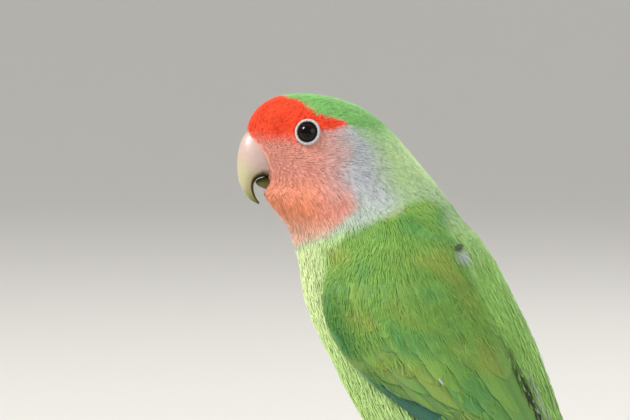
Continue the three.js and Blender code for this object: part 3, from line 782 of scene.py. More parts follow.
def makeEyes():
    colours = linearColours({"pupil": "#070505", "iris": "#1C100B", "ring": "#C4C8CB", "rim": "#4E4C4C"})
    for side, name in ((-1, "Left"), (1, "Right")):
        seat, out = eyes[side]
        centre = seat - out * eyeShape["depth"]
        look = Vector(out).to_track_quat("Z", "Y")
        selectNone()
        bpy.ops.mesh.primitive_uv_sphere_add(segments=64, ring_count=48, radius=eyeShape["radius"] * 0.001)
        ball = bpy.context.object
        ball.name = "eye" + name
        co = read(ball.data.vertices, "co", 3)
        radial = np.hypot(co[:, 0], co[:, 1]) * 1000
        tint = mix(colours["pupil"], colours["iris"], smooth(radial, 1.35, 1.6))
        ball.data.transform(look.to_matrix().to_4x4())
        ball.data.transform(Matrix.Translation(Vector(toFrame(centre))))
        ball.data.shade_smooth()
        paint(ball.data, "tint", tint)
        finishPiece(ball, finish["eye"], "eye", "eye_" + name.lower())
        selectNone()
        bpy.ops.mesh.primitive_torus_add(
            major_radius=eyeShape["ring"], minor_radius=eyeShape["ringTube"], major_segments=120,
            minor_segments=28
        )
        ring = bpy.context.object
        ring.name = "eyeRing" + name
        co = read(ring.data.vertices, "co", 3)
        around = np.arctan2(co[:, 1], co[:, 0])
        radial = np.hypot(co[:, 0], co[:, 1])
        bead = 0.09 * np.sin(around * 34) * smooth(radial, 2.6, 3.0) + 0.05 * np.sin(
            around * 19 + radial * 7
        )
        co[:, 2] = co[:, 2] * 0.9 + bead - 0.05
        tint = mix(colours["rim"], colours["ring"], smooth(radial, 2.5, 2.75))
        basis = np.array(look.to_matrix())
        ring.data.vertices.foreach_set("co", insideBox(co @ basis.T + seat).ravel())
        ring.data.update()
        ring.data.shade_smooth()
        paint(ring.data, "tint", tint)
        finishPiece(ring, finish["lid"], "foot_skin")


makeEyes()
print("eyes made")

# ---- wing surface
def wingPoint(s, t):  # s runs across from the leading edge, t from the shoulder to the wing tip
    at = np.asarray(t, float) * (len(wingShape["bulge"]) - 1)
    lead = curve(wingShape["lead"], at)
    chord = curve(wingShape["inner"], at) - lead
    over = unit(np.stack([chord[..., 1], -chord[..., 0], np.zeros_like(at)], axis=-1))
    bulge = smoothThrough(wingShape["bulge"], at)
    s = np.asarray(s, float)
    return lead + chord * s[..., None] + over * (bulge * 4 * s * (1 - s))[..., None]


def wingFrame(s, t):
    step = 0.01
    p = wingPoint(s, t)
    across = unit(wingPoint(s + step, t) - wingPoint(s - step, t))
    along = unit(wingPoint(s, t + step) - wingPoint(s, t - step))
    out = unit(np.cross(across, along))
    out = out * -np.sign(out[..., 1:2])
    return p, across, out


# Feather outlines: half width at shares of the length
outlines = {
    "long": ([0, 0.15, 0.4, 0.8, 0.93, 0.98, 1], [0.5, 0.72, 0.92, 1, 0.72, 0.4, 0.08]),
    "short": ([0, 0.3, 0.62, 0.85, 0.95, 1], [0.6, 0.85, 1, 0.86, 0.5, 0.06]),
}


def vanes(frameAt, feathers, look):
    # Closed thin plates over a surface. feathers: dictionary of arrays, one value for each feather
    rows, columns = look["rows"], look["columns"]
    n = len(feathers["rootS"])
    share = np.linspace(0, 1, rows + 1) ** 0.85
    across = np.linspace(-1, 1, columns + 1)
    at = share[None, :, None] * np.ones((n, 1, columns + 1))
    e = across[None, None, :] * np.ones((n, rows + 1, 1))
    col = {k: np.asarray(v, float)[:, None, None] for k, v in feathers.items() if np.ndim(v) == 1}
    s = col["rootS"] + (col["tipS"] - col["rootS"]) * at
    t = col["rootT"] + (col["tipT"] - col["rootT"]) * at
    p, side, out = frameAt(s, t)
    widths = np.interp(share, *outlines[look["outline"]])[None, :, None]
    reach = e * widths * col["width"] / 2
    jag = np.random.default_rng(look["seed"]).normal(size=reach.shape) * look["jag"]
    reach = reach * (1 + jag * (np.abs(e) > 0.9))
    lift = col["rootLift"] + (col["tipLift"] - col["rootLift"]) * smooth(at, 0, look["rise"])
    droop = reach**2 / (2 * look["roundness"]) + reach * col["roll"]
    shaft = look["shaft"] * np.exp(-(reach / 0.22) ** 2) * (1 - at)
    thin = look["thick"] * (1 - 0.6 * np.abs(e))
    top, low = (
        p + side * reach[..., None] + out * height[..., None]
        for height in (lift - droop + shaft, lift - droop - thin)
    )
    width = columns + 1
    per = (rows + 1) * width
    r, c = np.meshgrid(np.arange(rows), np.arange(columns), indexing="ij")
    a = (r * width + c).ravel()
    upFaces = np.stack([a, a + width, a + width + 1, a + 1], axis=-1)
    lowFaces = upFaces[:, ::-1] + per
    cs, rs = np.arange(columns), np.arange(rows)
    walls = []
    for first, second in (
        (cs, cs + 1), (rows * width + cs + 1, rows * width + cs),
        ((rs + 1) * width, rs * width), (rs * width + columns, (rs + 1) * width + columns),
    ):
        walls.append(np.stack([first, second, second + per, first + per], axis=-1))
    one = np.concatenate([upFaces, lowFaces] + walls)
    faces = (one[None] + (np.arange(n) * 2 * per)[:, None, None]).reshape(-1, 4)
    points = np.stack([top, low], axis=1).reshape(-1, 3)
    tips, bases = (frameAt(feathers[end + "S"], feathers[end + "T"])[0] for end in ("tip", "root"))
    length = np.linalg.norm(tips - bases, axis=-1)
    barbs = np.stack([reach, at * length[:, None, None]], axis=-1)
    shift = np.repeat(np.random.default_rng(look["seed"]).uniform(0, 40, n), 2 * per)
    barbs = np.stack([barbs, barbs], axis=1).reshape(-1, 2) + shift[:, None] * [0, 1]
    cells = int(math.ceil(math.sqrt(n)))
    cell = np.stack([np.arange(n) % cells, np.arange(n) // cells], axis=-1)[:, None, None] / cells
    local = np.stack([0.08 + 0.84 * (e + 1) / 2, 0.08 + 0.84 * at], axis=-1)
    local = np.stack(
        [local * [0.48, 1], local * [0.48, 1] + [0.5, 0]], axis=1
    ) / cells + cell[..., None, :].reshape(n, 1, 1, 1, 2)
    info = {key: np.stack([value, value], axis=1).ravel() for key, value in (("e", e), ("at", at))}
    info["index"] = np.repeat(np.arange(n), 2 * per)
    return points, faces, barbs, local.reshape(-1, 2), info


def vanePiece(name, points, faces, barbs, bake, tint, slotName, *nodes):
    piece = meshPiece(name, points, faces)
    paintUv(piece.data, "OFBake", bake)
    paintUv(piece.data, "barbs", barbs)
    paint(piece.data, "tint", tint)
    outward(piece)
    finishPiece(piece, finish["vane"], slotName, *nodes)


# Rows of wing feathers from the lowest layer up; roots and tips run from the first feather to the last
wingRows = [
    {"name": "primaries", "count": 9, "rootS": (0.07, 0.42), "rootT": (0.36, 0.42), "tipS": (0.12, 0.72),
     "tipT": (1.0, 0.8), "width": 5.6, "rootLift": -1.8, "tipLift": (-1.1, -1.2), "roll": 0.14,
     "outline": "long"},
    {"name": "secondaries", "count": 9, "rootS": (0.15, 0.92), "rootT": (0.3, 0.34), "tipS": (0.16, 0.94),
     "tipT": (0.44, 0.81), "width": 8.8, "rootLift": -2.0, "tipLift": (-0.8, -0.7), "roll": 0.12,
     "outline": "long"},
    {"name": "greaterCoverts", "count": 7, "rootS": (0.13, 0.9), "rootT": (0.22, 0.26),
     "tipS": (0.13, 0.91),
     "tipT": (0.41, 0.6), "width": 10.0, "rootLift": -2.0, "tipLift": (-0.45, -0.35), "roll": 0.09,
     "outline": "short"},
    {"name": "medianCoverts", "count": 7, "rootS": (0.12, 0.84), "rootT": (0.17, 0.19),
     "tipS": (0.11, 0.87),
     "tipT": (0.37, 0.51), "width": 9.4, "rootLift": -1.9, "tipLift": (-0.25, -0.2), "roll": 0.08,
     "outline": "short"},
    {"name": "innerCoverts", "count": 8, "rootS": (0.1, 0.88), "rootT": (0.12, 0.13), "tipS": (0.1, 0.9),
     "tipT": (0.31, 0.42), "width": 8.6, "rootLift": -1.8, "tipLift": (-0.1, -0.1), "roll": 0.07,
     "outline": "short"},
    {"name": "upperCoverts", "count": 8, "rootS": (0.1, 0.84), "rootT": (0.06, 0.06), "tipS": (0.08, 0.86),
     "tipT": (0.25, 0.32), "width": 7.8, "rootLift": -1.6, "tipLift": (0.0, 0.0), "roll": 0.07,
     "outline": "short"},
]


def wingTint(row, points, info, seed):
    draw = np.random.default_rng(seed)
    own = draw.normal(size=row["count"])[info["index"]]
    e, at = info["e"], info["at"]
    if row["name"] == "primaries":
        tint = mix(wingColours["primary"], wingColours["teal"], smooth(-e, -0.3, 0.5))
        tint = mix(tint, wingColours["pale"], smooth(e, 0.72, 0.95) * 0.7)
    elif row["name"] == "secondaries":
        tint = mix(wingColours["secondary"], wingMottle(points), 0.5)
        tint = mix(tint, wingColours["teal"], smooth(-e, 0.55, 1.0) * 0.5)
    else:
        tone = draw.uniform(-1, 1, row["count"])[info["index"]]
        olive, cool = (
            mix(wingMottle(points), wingColours[k], np.abs(tone) * 0.7) for k in ("olive", "cool")
        )
        tint = np.where((tone > 0)[:, None], olive, cool)
        tint = mix(tint, wingColours["centre"], (1 - np.abs(e)) * smooth(at, 0.95, 0.5) * 0.35)
    if row["name"] != "primaries":
        edge = np.maximum(smooth(np.abs(e), 0.85, 1.0) * 0.35, smooth(at, 0.94, 1.0) * 0.45)
        tint = mix(tint, wingColours["edge"], edge)
        tint = tint * 0.88
    tint = mix(tint, wingColours["shaft"], smooth(np.abs(e), 0.07, 0.02) * 0.35)
    return tint * (1 + 0.07 * own)[:, None] * (1 + 0.05 * own[:, None] * [1, 0, -1])


def makeWing(side, name):
    draw = np.random.default_rng(21)
    parts = []
    for i, row in enumerate(wingRows):
        k = np.arange(row["count"]) / (row["count"] - 1)

        def run(key, wander=0.0):
            value = row[key]
            value = (value, value) if np.isscalar(value) else value
            return value[0] + (value[1] - value[0]) * k + draw.normal(size=len(k)) * wander

        feathers = {"rootS": run("rootS"), "rootT": run("rootT"), "tipS": run("tipS", 0.006),
                    "tipT": run("tipT", 0.006),
                    "width": run("width") * (
                        1 + 0.04 * draw.normal(size=len(k))
                    ), "rootLift": run("rootLift"),
                    "tipLift": run("tipLift"), "roll": run("roll")}
        look = {"rows": 16, "columns": 8, "outline": row["outline"], "rise": 0.45, "roundness": 24,
                "thick": 0.3,
                "shaft": 0.16, "jag": 0.03, "seed": 40 + i}
        points, faces, barbs, bake, info = vanes(wingFrame, feathers, look)
        bake = bake * [1, 1 / len(wingRows)] + [0, i / len(wingRows)]
        parts.append((points, faces, barbs, bake, wingTint(row, points, info, 60 + i)))
    points, faces, barbs, bake, tint = joined(parts)
    if side > 0:
        points, faces = points * [1, -1, 1], faces[:, ::-1]
    vanePiece(
        "wingFeathers" + name, points, faces, barbs, bake, tint, "wing_feathers", "wing_" + name.lower()
    )
    # the arm under the feathers
    selectNone()
    bpy.ops.mesh.primitive_grid_add(x_subdivisions=24, y_subdivisions=36, size=1)
    arm = bpy.context.object
    arm.name = "wingArm" + name
    co = read(arm.data.vertices, "co", 3) + 0.5
    p, _, out = wingFrame(co[:, 0], co[:, 1] * wingShape["coreEnd"])
    p = (p + out * wingShape["coreTop"]) * [1, -side, 1]
    arm.data.vertices.foreach_set("co", insideBox(p).ravel())
    arm.data.update()
    thick = arm.modifiers.new("thick", "SOLIDIFY")
    thick.thickness = 0.002
    thick.offset = -1 if side > 0 else 1
    bpy.ops.object.modifier_apply(modifier="thick")
    outward(arm)
    arm.data.shade_smooth()
    paint(arm.data, "tint", wingColours["secondary"])
    finishPiece(arm, finish["plumage"], "wing_feathers")


for side, name in ((-1, "Left"), (1, "Right")):
    makeWing(side, name)
print("wings made")

# ---- tail
tailShape = {"root": (60, 0, 41.5), "tip": (103.5, 0, -0.1), "pairs": 6, "width": 8.0, "step": 0.42,
             "covertRows": ((0.62, 1.0), (0.5, 0.85), (0.38, 0.7)), "covertsAcross": 7}
tailColours = linearColours({
    "green": "#4F9A4A", "dark": "#2F6E4A", "bar": "#1F2A22", "red": "#D8502A", "tip": "#6FB35A",
    "blue": "#2F8FD0", "covert": "#5FB08A",
})


def tailFrame(y, t):
    root, tip = np.array(tailShape["root"], float), np.array(tailShape["tip"], float)
    y, t = np.broadcast_arrays(np.asarray(y, float), np.asarray(t, float))
    p = root + (tip - root) * t[..., None]
    p[..., 1] = y
    along = unit(tip - root)
    side = np.broadcast_to(np.array([0.0, 1.0, 0.0]), p.shape)
    out = np.broadcast_to(np.array([-along[2], 0, along[0]]), p.shape)
    return p, side, out


def makeTail():
    pair = np.repeat(np.arange(tailShape["pairs"]), 2)
    side = np.tile([-1, 1], tailShape["pairs"])
    feathers = {"rootS": side * (0.6 + 0.6 * pair), "rootT": np.full(len(pair), 0.16),
                "tipS": side * (1.3 + 1.7 * pair),
                "tipT": 0.995 - 0.006 * pair**2, "width": np.full(
                    len(pair), tailShape["width"]
                ), "rootLift": -1.2 - 0.25 * pair,
                "tipLift": -tailShape["step"] * pair - 0.05 + 0.02 * side, "roll": np.zeros(len(pair))}
    look = {
        "rows": 26, "columns": 8, "outline": "long", "rise": 0.5, "roundness": 40, "thick": 0.3,
        "shaft": 0.2, "jag": 0.015, "seed": 80
    }
    points, faces, barbs, bake, info = vanes(tailFrame, feathers, look)
    e, at, which = info["e"], info["at"], pair[info["index"]]
    outer = (e * side[info["index"]] + 1) / 2
    tint = mix(tailColours["green"], tailColours["dark"], smooth(1 - outer, 0.3, 1) * 0.6)
    lateral = smooth(which, 0.5, 2)
    tint = mix(
        tint, tailColours["red"],
        smooth(at, 0.5, 0.6) * smooth(at, 0.82, 0.74) * lateral * smooth(outer, 1, 0.55)
    )
    tint = mix(tint, tailColours["bar"], smooth(at, 0.76, 0.8) * smooth(at, 0.9, 0.86) * lateral)
    tint = mix(tint, tailColours["tip"], smooth(at, 0.9, 0.96))
    draw = np.random.default_rng(5)
    tint = tint * (1 + 0.06 * draw.normal(size=len(pair))[info["index"]])[:, None]
    vanePiece("tailFeathers", points, faces, barbs, bake, tint, "tail_feathers", "tail")
    # coverts over and under the root of the tail
    rows = []
    for above, (reach, spread) in ((above, row) for above in (1, -1) for row in tailShape["covertRows"]):
        for k in np.linspace(-1, 1, tailShape["covertsAcross"]):
            rows.append((k * 5.0 * spread, 0.02, k * 8.0 * spread, reach - 0.12 * k * k, 6.0,
                         -0.9 if above > 0 else -2.6, (0.5 if above > 0 else -3.0) - 0.25 * abs(k) * above,
                         0.0))
    keys = ("rootS", "rootT", "tipS", "tipT", "width", "rootLift", "tipLift", "roll")
    feathers = {key: np.array([r[i] for r in rows]) for i, key in enumerate(keys)}
    look = {
        "rows": 12, "columns": 6, "outline": "short", "rise": 0.8, "roundness": 22, "thick": 0.3,
        "shaft": 0.1, "jag": 0.04, "seed": 81
    }
    points, faces, barbs, bake, info = vanes(tailFrame, feathers, look)
    above = info["index"] < len(rows) // 2
    tint = np.where(
        above[:, None], mix(tailColours["blue"], tailColours["covert"], smooth(info["at"], 0.5, 1)),
        plumageColours["vent"]
    )
    tint = tint * (1 + 0.07 * draw.normal(size=len(rows))[info["index"]])[:, None]
    vanePiece("tailCoverts", points, faces, barbs, bake, tint, "tail_feathers")


makeTail()
print("tail made")


# ---- feet and claws
# the lighter second colour is painted light for upward-facing skin, and sole is painted shade near the floor
footColours = linearColours(
    {"skin": "#A39A92", "litTopSkin": "#B8AFA6", "sole": "#8A7F77", "claw": "#4A423E", "clawTip": "#2E2927"}
)


def toePath(number, side):
    heading, length = legShape["toes"][number]
    heading = math.radians(heading)
    ahead = np.array([-math.cos(heading), side * math.sin(heading), 0])
    base = np.array(legShape["foot"]) * [1, side, 1]
    thick, thin = legShape["toeBase"], legShape["toeTip"]
    radii = np.array([thick, thick + 0.4 * (thin - thick), thin])
    points = [base + ahead * length * k / 2 for k in range(3)]
    for p, radius in zip(points, radii):
        p[2] = radius - legShape["soleDepth"]
    return np.array(points), radii, ahead, length


def scaled(place, count, height):
    # scutes: low steps across the upper side, pads below
    def shape(angle, share):
        p, out = place(angle, share)
        wave = (share * count) % 1.0
        topSide = smooth(out[:, 2], -0.2, 0.5)
        step = (
            0.5 - np.abs(wave - 0.4)
        ) * height * topSide * smooth(share, 0.05, 0.15) * smooth(share, 0.97, 0.9)
        p = p + out * step[:, None]
        p[:, 2] = np.maximum(p[:, 2], 0.0)
        return p
    return shape


def makeFoot(side, name):
    ankle, sole = np.array(legShape["ankle"]) * [1, side, 1], np.array(legShape["foot"]) * [1, side, 1]
    parts = []

    def shank(angle, share):
        return limbPoint([ankle, (ankle + sole) / 2, sole], legShape["tarsus"], angle, share, -0.15)

    jobs = [(shank, 16, 0.25)]
    for number in legShape["toes"]:
        points, radii, _, length = toePath(number, side)

        def toe(a, s, points=points, radii=radii):
            return limbPoint(points, radii, a, s, -0.08)

        jobs.append((toe, int(length * 1.1), 0.3))
    for place, count, height in jobs:
        piece, _, _ = ballPiece("toe", 28, 70, scaled(place, count, height))
        parts.append(piece)
    foot = joinPieces("foot" + name, parts)
    z, facing = read(foot.data.vertices, "co", 3)[:, 2] * 1000, read(foot.data.vertices, "normal", 3)[:, 2]
    # painted light: skin facing up is lighter; painted shade: skin within a millimetre of the floor is darker
    tint = mix(footColours["skin"], footColours["litTopSkin"], smooth(facing, 0.1, 0.9))
    tint = mix(tint, footColours["sole"], smooth(z, 1.0, 0.2))
    paint(foot.data, "tint", tint)
    finishPiece(foot, finish["foot"], "foot_skin", "foot_" + name.lower())
    claws = []
    for number in legShape["toes"]:
        points, _, ahead, _ = toePath(number, side)
        tip = points[2]
        path = [tip + ahead * legShape["claw"] * k for k in (0.0, 0.35, 0.7, 1.0)]
        for p, z in zip(path, (1.35, 2.0, 1.75, 0.42)):
            p[2] = z
        piece, _, share = ballPiece(
            "claw", 20, 30, lambda a, s, path=path: limbPoint(path, [1.02, 0.9, 0.62, 0.2], a, s)[0]
        )
        paint(piece.data, "tint", mix(footColours["claw"], footColours["clawTip"], smooth(share, 0.3, 0.9)))
        claws.append(piece)
    claws = joinPieces("claws" + name, claws)
    finishPiece(claws, finish["claw"], "claw_horn", *[f"claw_{name.lower()}_{k}" for k in legShape["toes"]])


for side, name in ((-1, "Left"), (1, "Right")):
    makeFoot(side, name)
print("feet made")

# ---- the coat of small feathers: thin vanes with loose barbs over them, laid along the coat's flow
coatLook = {
    "candidates": 260000, "seed": 7, "vaneThick": 0.08, "bakePatch": 0.003, "billRoot": [-9.5, 0.0, 117.5],
    # by height: millimetres between feathers, their length, width and the width of one barb
    "z": [24, 60, 90, 103, 112, 124, 134],
    "spacing": [2.0, 1.85, 1.3, 0.82, 0.68, 0.6, 0.6],
    "length": [8, 8, 6.5, 4.4, 3.6, 2.8, 2.6],
    "width": [4.6, 4.6, 3.6, 2.2, 1.6, 1.3, 1.3],
    "barb": [0.26, 0.25, 0.21, 0.16, 0.14, 0.13, 0.13],
}
vaneSteps = np.array([0, 0.35, 0.7, 1.0])


def flowAt(p):  # the lie of the coat: back from the bill over the head, then down the body to the tail
    billRoot = turned(coatLook["billRoot"])
    away = unit(p - billRoot)
    down = np.broadcast_to(unit(np.array([0.42, 0.0, -0.9])), p.shape)
    share = smooth(p[:, 2], 124, 104)[:, None] * 0.75 + smooth(p[:, 2], 106, 98)[:, None] * 0.25
    return unit(away * (1 - share) + down * share)


def scatterRoots():
    draw = np.random.default_rng(coatLook["seed"])
    tris = skinData["tris"]
    a, b, c = (skinData["co"][tris[:, k]] for k in range(3))
    area = np.linalg.norm(np.cross(b - a, c - a), axis=-1) / 2
    pick = draw.choice(len(tris), coatLook["candidates"], p=area / area.sum())
    u, v = draw.uniform(size=(2, len(pick)))
    over = u + v > 1
    u[over], v[over] = 1 - u[over], 1 - v[over]
    weights = np.stack([1 - u - v, u, v], axis=-1)[..., None]
    return {
        "p": (skinData["co"][tris[pick]] * weights).sum(1),
        "n": unit((skinData["normal"][tris[pick]] * weights).sum(1)),
        "uv": (skinData["uv"][pick] * weights).sum(1),
    }


def thinOut(points, spacing):  # keeps points that stand at least their spacing apart
    cell = 0.8
    grid = {}
    kept = []
    keys = np.floor(points / cell).astype(int)
    for i, (p, r, key) in enumerate(zip(points.tolist(), spacing.tolist(), keys.tolist())):
        reach = range(-int(r / cell) - 1, int(r / cell) + 2)
        near = (
            q for dx in reach for dy in reach for dz in reach
            for q in grid.get((key[0] + dx, key[1] + dy, key[2] + dz), ())
        )
        if all((q[0] - p[0]) ** 2 + (q[1] - p[1]) ** 2 + (q[2] - p[2]) ** 2 >= r * r for q in near):
            grid.setdefault(tuple(key), []).append(p)
            kept.append(i)
    return np.array(kept)


def keep(roots, chosen):
    return {k: v[chosen] for k, v in roots.items()}


def coatPaths(roots, flow, length, tree):  # the line that each feather follows over the skin
    here, over, way = roots["p"], roots["n"], flow
    path = [here]
    for k in range(1, len(vaneSteps)):
        way = unit(way - over * (way * over).sum(-1, keepdims=True))
        here = here + way * (length * (vaneSteps[k] - vaneSteps[k - 1]))[:, None]
        found = [tree.find_nearest(p) for p in here.tolist()]
        here = np.array([f[0] for f in found])
        over = np.array([f[1] for f in found])
        path.append(here)
    return np.stack(path, axis=1)


def feathersMesh(roots, path, look, tintAt):
    # look: arrays of width, depth and barb width for each feather, barb count and heights of the vane
    draw = np.random.default_rng(look["seed"])
    count, barbCount = len(path), look["barbs"]
    width, depth = look["width"], look["depth"]
    length = np.linalg.norm(path[:, -1] - path[:, 0], axis=-1)
    over = roots["n"]
    ahead = unit(path[:, -1] - path[:, 0])
    side = unit(np.cross(over, ahead))
    own = draw.uniform(1 - look["vary"], 1 + look["vary"], (count, 1))
    tint = tintAt(path[:, 2]) * own
    # vane: three points across and a keel under them, at four steps along
    halves = np.array([0.3, 0.42, 0.46, 0.14])
    vanePoints = []
    for k in range(4):
        base = path[:, k] + over * (look["heights"][k] * depth)[:, None]
        reach = side * (halves[k] * width)[:, None]
        drop = over * (0.1 * width * halves[k])[:, None]
        keel = base - over * coatLook["vaneThick"]
        vanePoints.append(np.stack([base - reach - drop, base, base + reach - drop, keel], axis=1))
    vanePoints = np.stack(vanePoints, axis=1).reshape(-1, 3)
    quads = [
        [4 * k + a, 4 * k + b, 4 * k + 4 + b, 4 * k + 4 + a] for k in range(3) for a,
        b in ((0, 1), (1, 2), (2, 3), (3, 0))
    ]
    quads = np.array(quads + [[3, 2, 1, 0], [12, 13, 14, 15]])
    tris = np.concatenate([quads[:, [0, 2, 1]], quads[:, [0, 3, 2]]])
    vaneFaces = (tris[None] + (np.arange(count) * 16)[:, None, None]).reshape(-1, 3)
    # barbs: thin three-sided strips that fan out along the feather
    e = np.linspace(-1, 1, barbCount)[None] + draw.normal(size=(count, barbCount)) * 0.2
    reachScale = draw.uniform(0.8, 1.15, (count, barbCount)) * (1 - 0.2 * e**2)
    high = draw.uniform(0.75, 1.0, (count, barbCount))
    wide = look["barb"][:, None] * draw.uniform(0.7, 1.2, (count, barbCount))
    i = np.arange(count)[:, None]
    rows = []
    for share, fan, lift in ((0.12, 0.5, 0.25), (0.62, 0.95, 0.85), (1.0, 1.05, 0.9)):
        reach = reachScale * share
        at = np.clip(reach, 0, 1)
        k = np.clip(np.searchsorted(vaneSteps, at, side="right") - 1, 0, 2)
        f = ((at - vaneSteps[k]) / (vaneSteps[k + 1] - vaneSteps[k]))[..., None]
        base = path[i, k] * (1 - f) + path[i, k + 1] * f
        base = base + ahead[:, None] * ((reach - at) * length[:, None])[..., None]
        base = base + side[:, None] * (e * fan * 0.46 * width[:, None])[..., None]
        rows.append(base + over[:, None] * (lift * high * depth[:, None])[..., None])
    sideWay, overWay = side[:, None] * wide[..., None], over[:, None] * wide[..., None]
    pieces = []
    for base, thick in zip(rows[:2], (0.8, 1.0)):
        pieces += [base - sideWay * thick / 2, base + overWay * thick * 0.35, base + sideWay * thick / 2]
    pieces.append(rows[2])
    barbPoints = np.stack(pieces, axis=2).reshape(-1, 3)
    one = np.array([
        [0, 4, 1], [0, 3, 4], [1, 5, 2], [1, 4, 5], [2, 3, 0],
        [2, 5, 3], [3, 6, 4], [4, 6, 5], [5, 6, 3], [2, 0, 1],
    ])
    barbFaces = (one[None] + (np.arange(count * barbCount) * 7)[:, None, None]).reshape(-1, 3)
    lean = np.array([-0.4, 0, 0.4, -0.4, 0, 0.4, 0])
    barbNormals = (
        over[:, None, None] + side[:, None, None] * lean[None, None, :, None]
    ).repeat(barbCount, axis=1).reshape(-1, 3)
    barbTint = tintAt(rows[1].reshape(-1, 3)).reshape(count, barbCount, 1, 3) * own[:, None, None]
    barbTint = barbTint * draw.uniform(1 - look["contrast"], 1 + look["contrast"], (count, barbCount, 1, 1))
    barbTint = (barbTint * np.array([0.94, 0.94, 0.94, 1, 1, 1, 1.04])[None, None, :, None]).reshape(-1, 3)
    parts = [(barbPoints, barbFaces, barbNormals, barbTint, np.repeat(np.arange(count), 7 * barbCount))]
    if look["vanes"]:
        overs, tints = np.repeat(over, 16, axis=0), np.repeat(tint * 0.95, 16, axis=0)
        parts.insert(0, (vanePoints, vaneFaces, overs, tints, np.repeat(np.arange(count), 16)))
    points, faces, normals, tint, owner = joined(parts)
    relative = points - roots["p"][owner]
    patch = np.stack(
        [
            (relative * side[owner]).sum(-1) / width[owner],
            (relative * ahead[owner]).sum(-1) / length[owner] - 0.5
        ],
        axis=-1
    )
    bake = roots["uv"][owner] + np.clip(patch, -0.6, 0.6) * coatLook["bakePatch"]
    return points, faces, normals, tint, bake


def coatPiece(name, made, slotName):
    points, faces, normals, tint, bake = made
    piece = meshPiece(name, points, faces, normals)
    paintUv(piece.data, "OFBake", bake)
    paint(piece.data, "tint", tint)
    print(name, len(faces), "faces")
    finishPiece(piece, finish["plumage"], slotName)


def bodyTint(p):
    return plumageTint(unturnHead(p))


def makeBodyCoat():
    roots = scatterRoots()
    roots = keep(
        roots, thinOut(roots["p"], np.interp(roots["p"][:, 2], coatLook["z"], coatLook["spacing"]))
    )
    for seat, _ in eyes.values():
        roots = keep(roots, np.linalg.norm(roots["p"] - seat, axis=-1) > eyeShape["bare"])
    roots = keep(roots, ~nearBill(roots["p"], 0.1))
    x, y, z = roots["p"].T
    lead, inner = (np.array(wingShape[k])[::-1] for k in ("lead", "inner"))
    under = (x > np.interp(z, lead[:, 2], lead[:, 0]) + 3.5) & (
        x < np.interp(z, inner[:, 2], inner[:, 0]) - 5
    )
    roots = keep(roots, ~(under & (z < 90) & (z > 42) & (np.abs(y) > 6)))
    print("feather roots", len(roots["p"]))
    z, y = roots["p"][:, 2], roots["p"][:, 1]
    # name: lowest and highest point, where left and right part, barbs on a feather, and whether it has a vane
    bands = (("Face", 114, 125, -2, 10, False), ("Neck", 103, 114, 0, 11, False),
             ("Breast", 84, 103, 0, 13, True),
             ("Belly", -1, 84, 0, 12, True))
    regions = {"coatCrown": (z > 125, 9, False)}
    for band, low, high, middle, barbs, withVanes in bands:
        level = (z > low) & (z <= high)
        regions["coat" + band + "Left"] = (level & (y < middle), barbs, withVanes)
        regions["coat" + band + "Right"] = (level & (y >= middle), barbs, withVanes)
    billRoot = turned(coatLook["billRoot"])
    for index, (name, (chosen, barbs, withVanes)) in enumerate(regions.items()):
        draw = np.random.default_rng(100 + index)
        some = keep(roots, chosen)
        p = some["p"]
        count = len(p)
        length, width, barb = (
            np.interp(p[:, 2], coatLook["z"], coatLook[k]) * draw.uniform(0.85, 1.15, count)
            for k in ("length", "width", "barb")
        )
        depth = np.interp(
            -p[:, 2], -np.array(bodyShape["z"], float), bodyShape["coat"]
        ) * draw.uniform(0.85, 1.0, count)
        length = length * (0.5 + 0.5 * smooth(np.linalg.norm(p - billRoot, axis=-1), 8, 15))
        length = length * (0.55 + 0.45 * smooth(p[:, 2], 17, 28))
        depth = depth * (0.35 + 0.65 * smooth(p[:, 2], 17, 28))
        flow = unit(flowAt(p) + draw.normal(size=(count, 3)) * 0.05)
        for side in (-1, 1):
            corner = turned([-8.0, side * 3.0, 113.0])
            forward = np.array([-math.cos(headTurn["angle"]), -math.sin(headTurn["angle"]), -0.45])
            flow = unit(
                flow + forward * smooth(np.linalg.norm(p - corner, axis=-1), 4.2, 1.8)[:, None] * 2.2
            )
        for seat, _ in eyes.values():
            near = np.linalg.norm(p - seat, axis=-1)
            flow = unit(flow + unit(p - seat) * smooth(near, 6.5, 3.4)[:, None] * 0.9)
            length = length * (1 - 0.5 * smooth(near, 6.0, 3.4))
        path = coatPaths(some, flow, length, skinTree)
        look = {"seed": 200 + index, "barbs": barbs, "width": width, "depth": depth, "barb": barb,
                "vanes": withVanes,
                "heights": (-0.3, 0.33, 0.58, 0.66), "vary": 0.05, "contrast": 0.08 if withVanes else 0.12}
        coatPiece(
            name, feathersMesh(some, path, look, bodyTint),
            "peach_plumage" if index < 3 else "green_plumage"
        )


makeBodyCoat()


def sheetFeathers(frameAt, s, t, sink, length, draw):
    # roots over a sheet that lies a little under the surface, and the lines they follow down it
    gridS, gridT = np.meshgrid(np.linspace(-0.06, 1.2, 40), np.linspace(-0.1, 1.0, 90), indexing="ij")
    sheet, _, sheetOut = frameAt(gridS.ravel(), gridT.ravel())
    sheet = sheet - sheetOut * sink(gridT.ravel())[:, None]
    a = (np.arange(39)[:, None] * 90 + np.arange(89)[None]).ravel()
    tree = BVHTree.FromPolygons(sheet.tolist(), np.stack([a, a + 90, a + 91, a + 1], axis=-1).tolist())
    p, _, out = frameAt(s, t)
    flow = unit(frameAt(s, t + 0.02)[0] - frameAt(s, t - 0.02)[0] + draw.normal(size=(len(s), 3)) * 0.04)
    roots = {"p": p - out * sink(t)[:, None], "n": out}
    return roots, coatPaths(roots, flow, length, tree)


def wingSink(t):
    return np.interp(t, [0.14, 0.32], [0.75, 0.1])


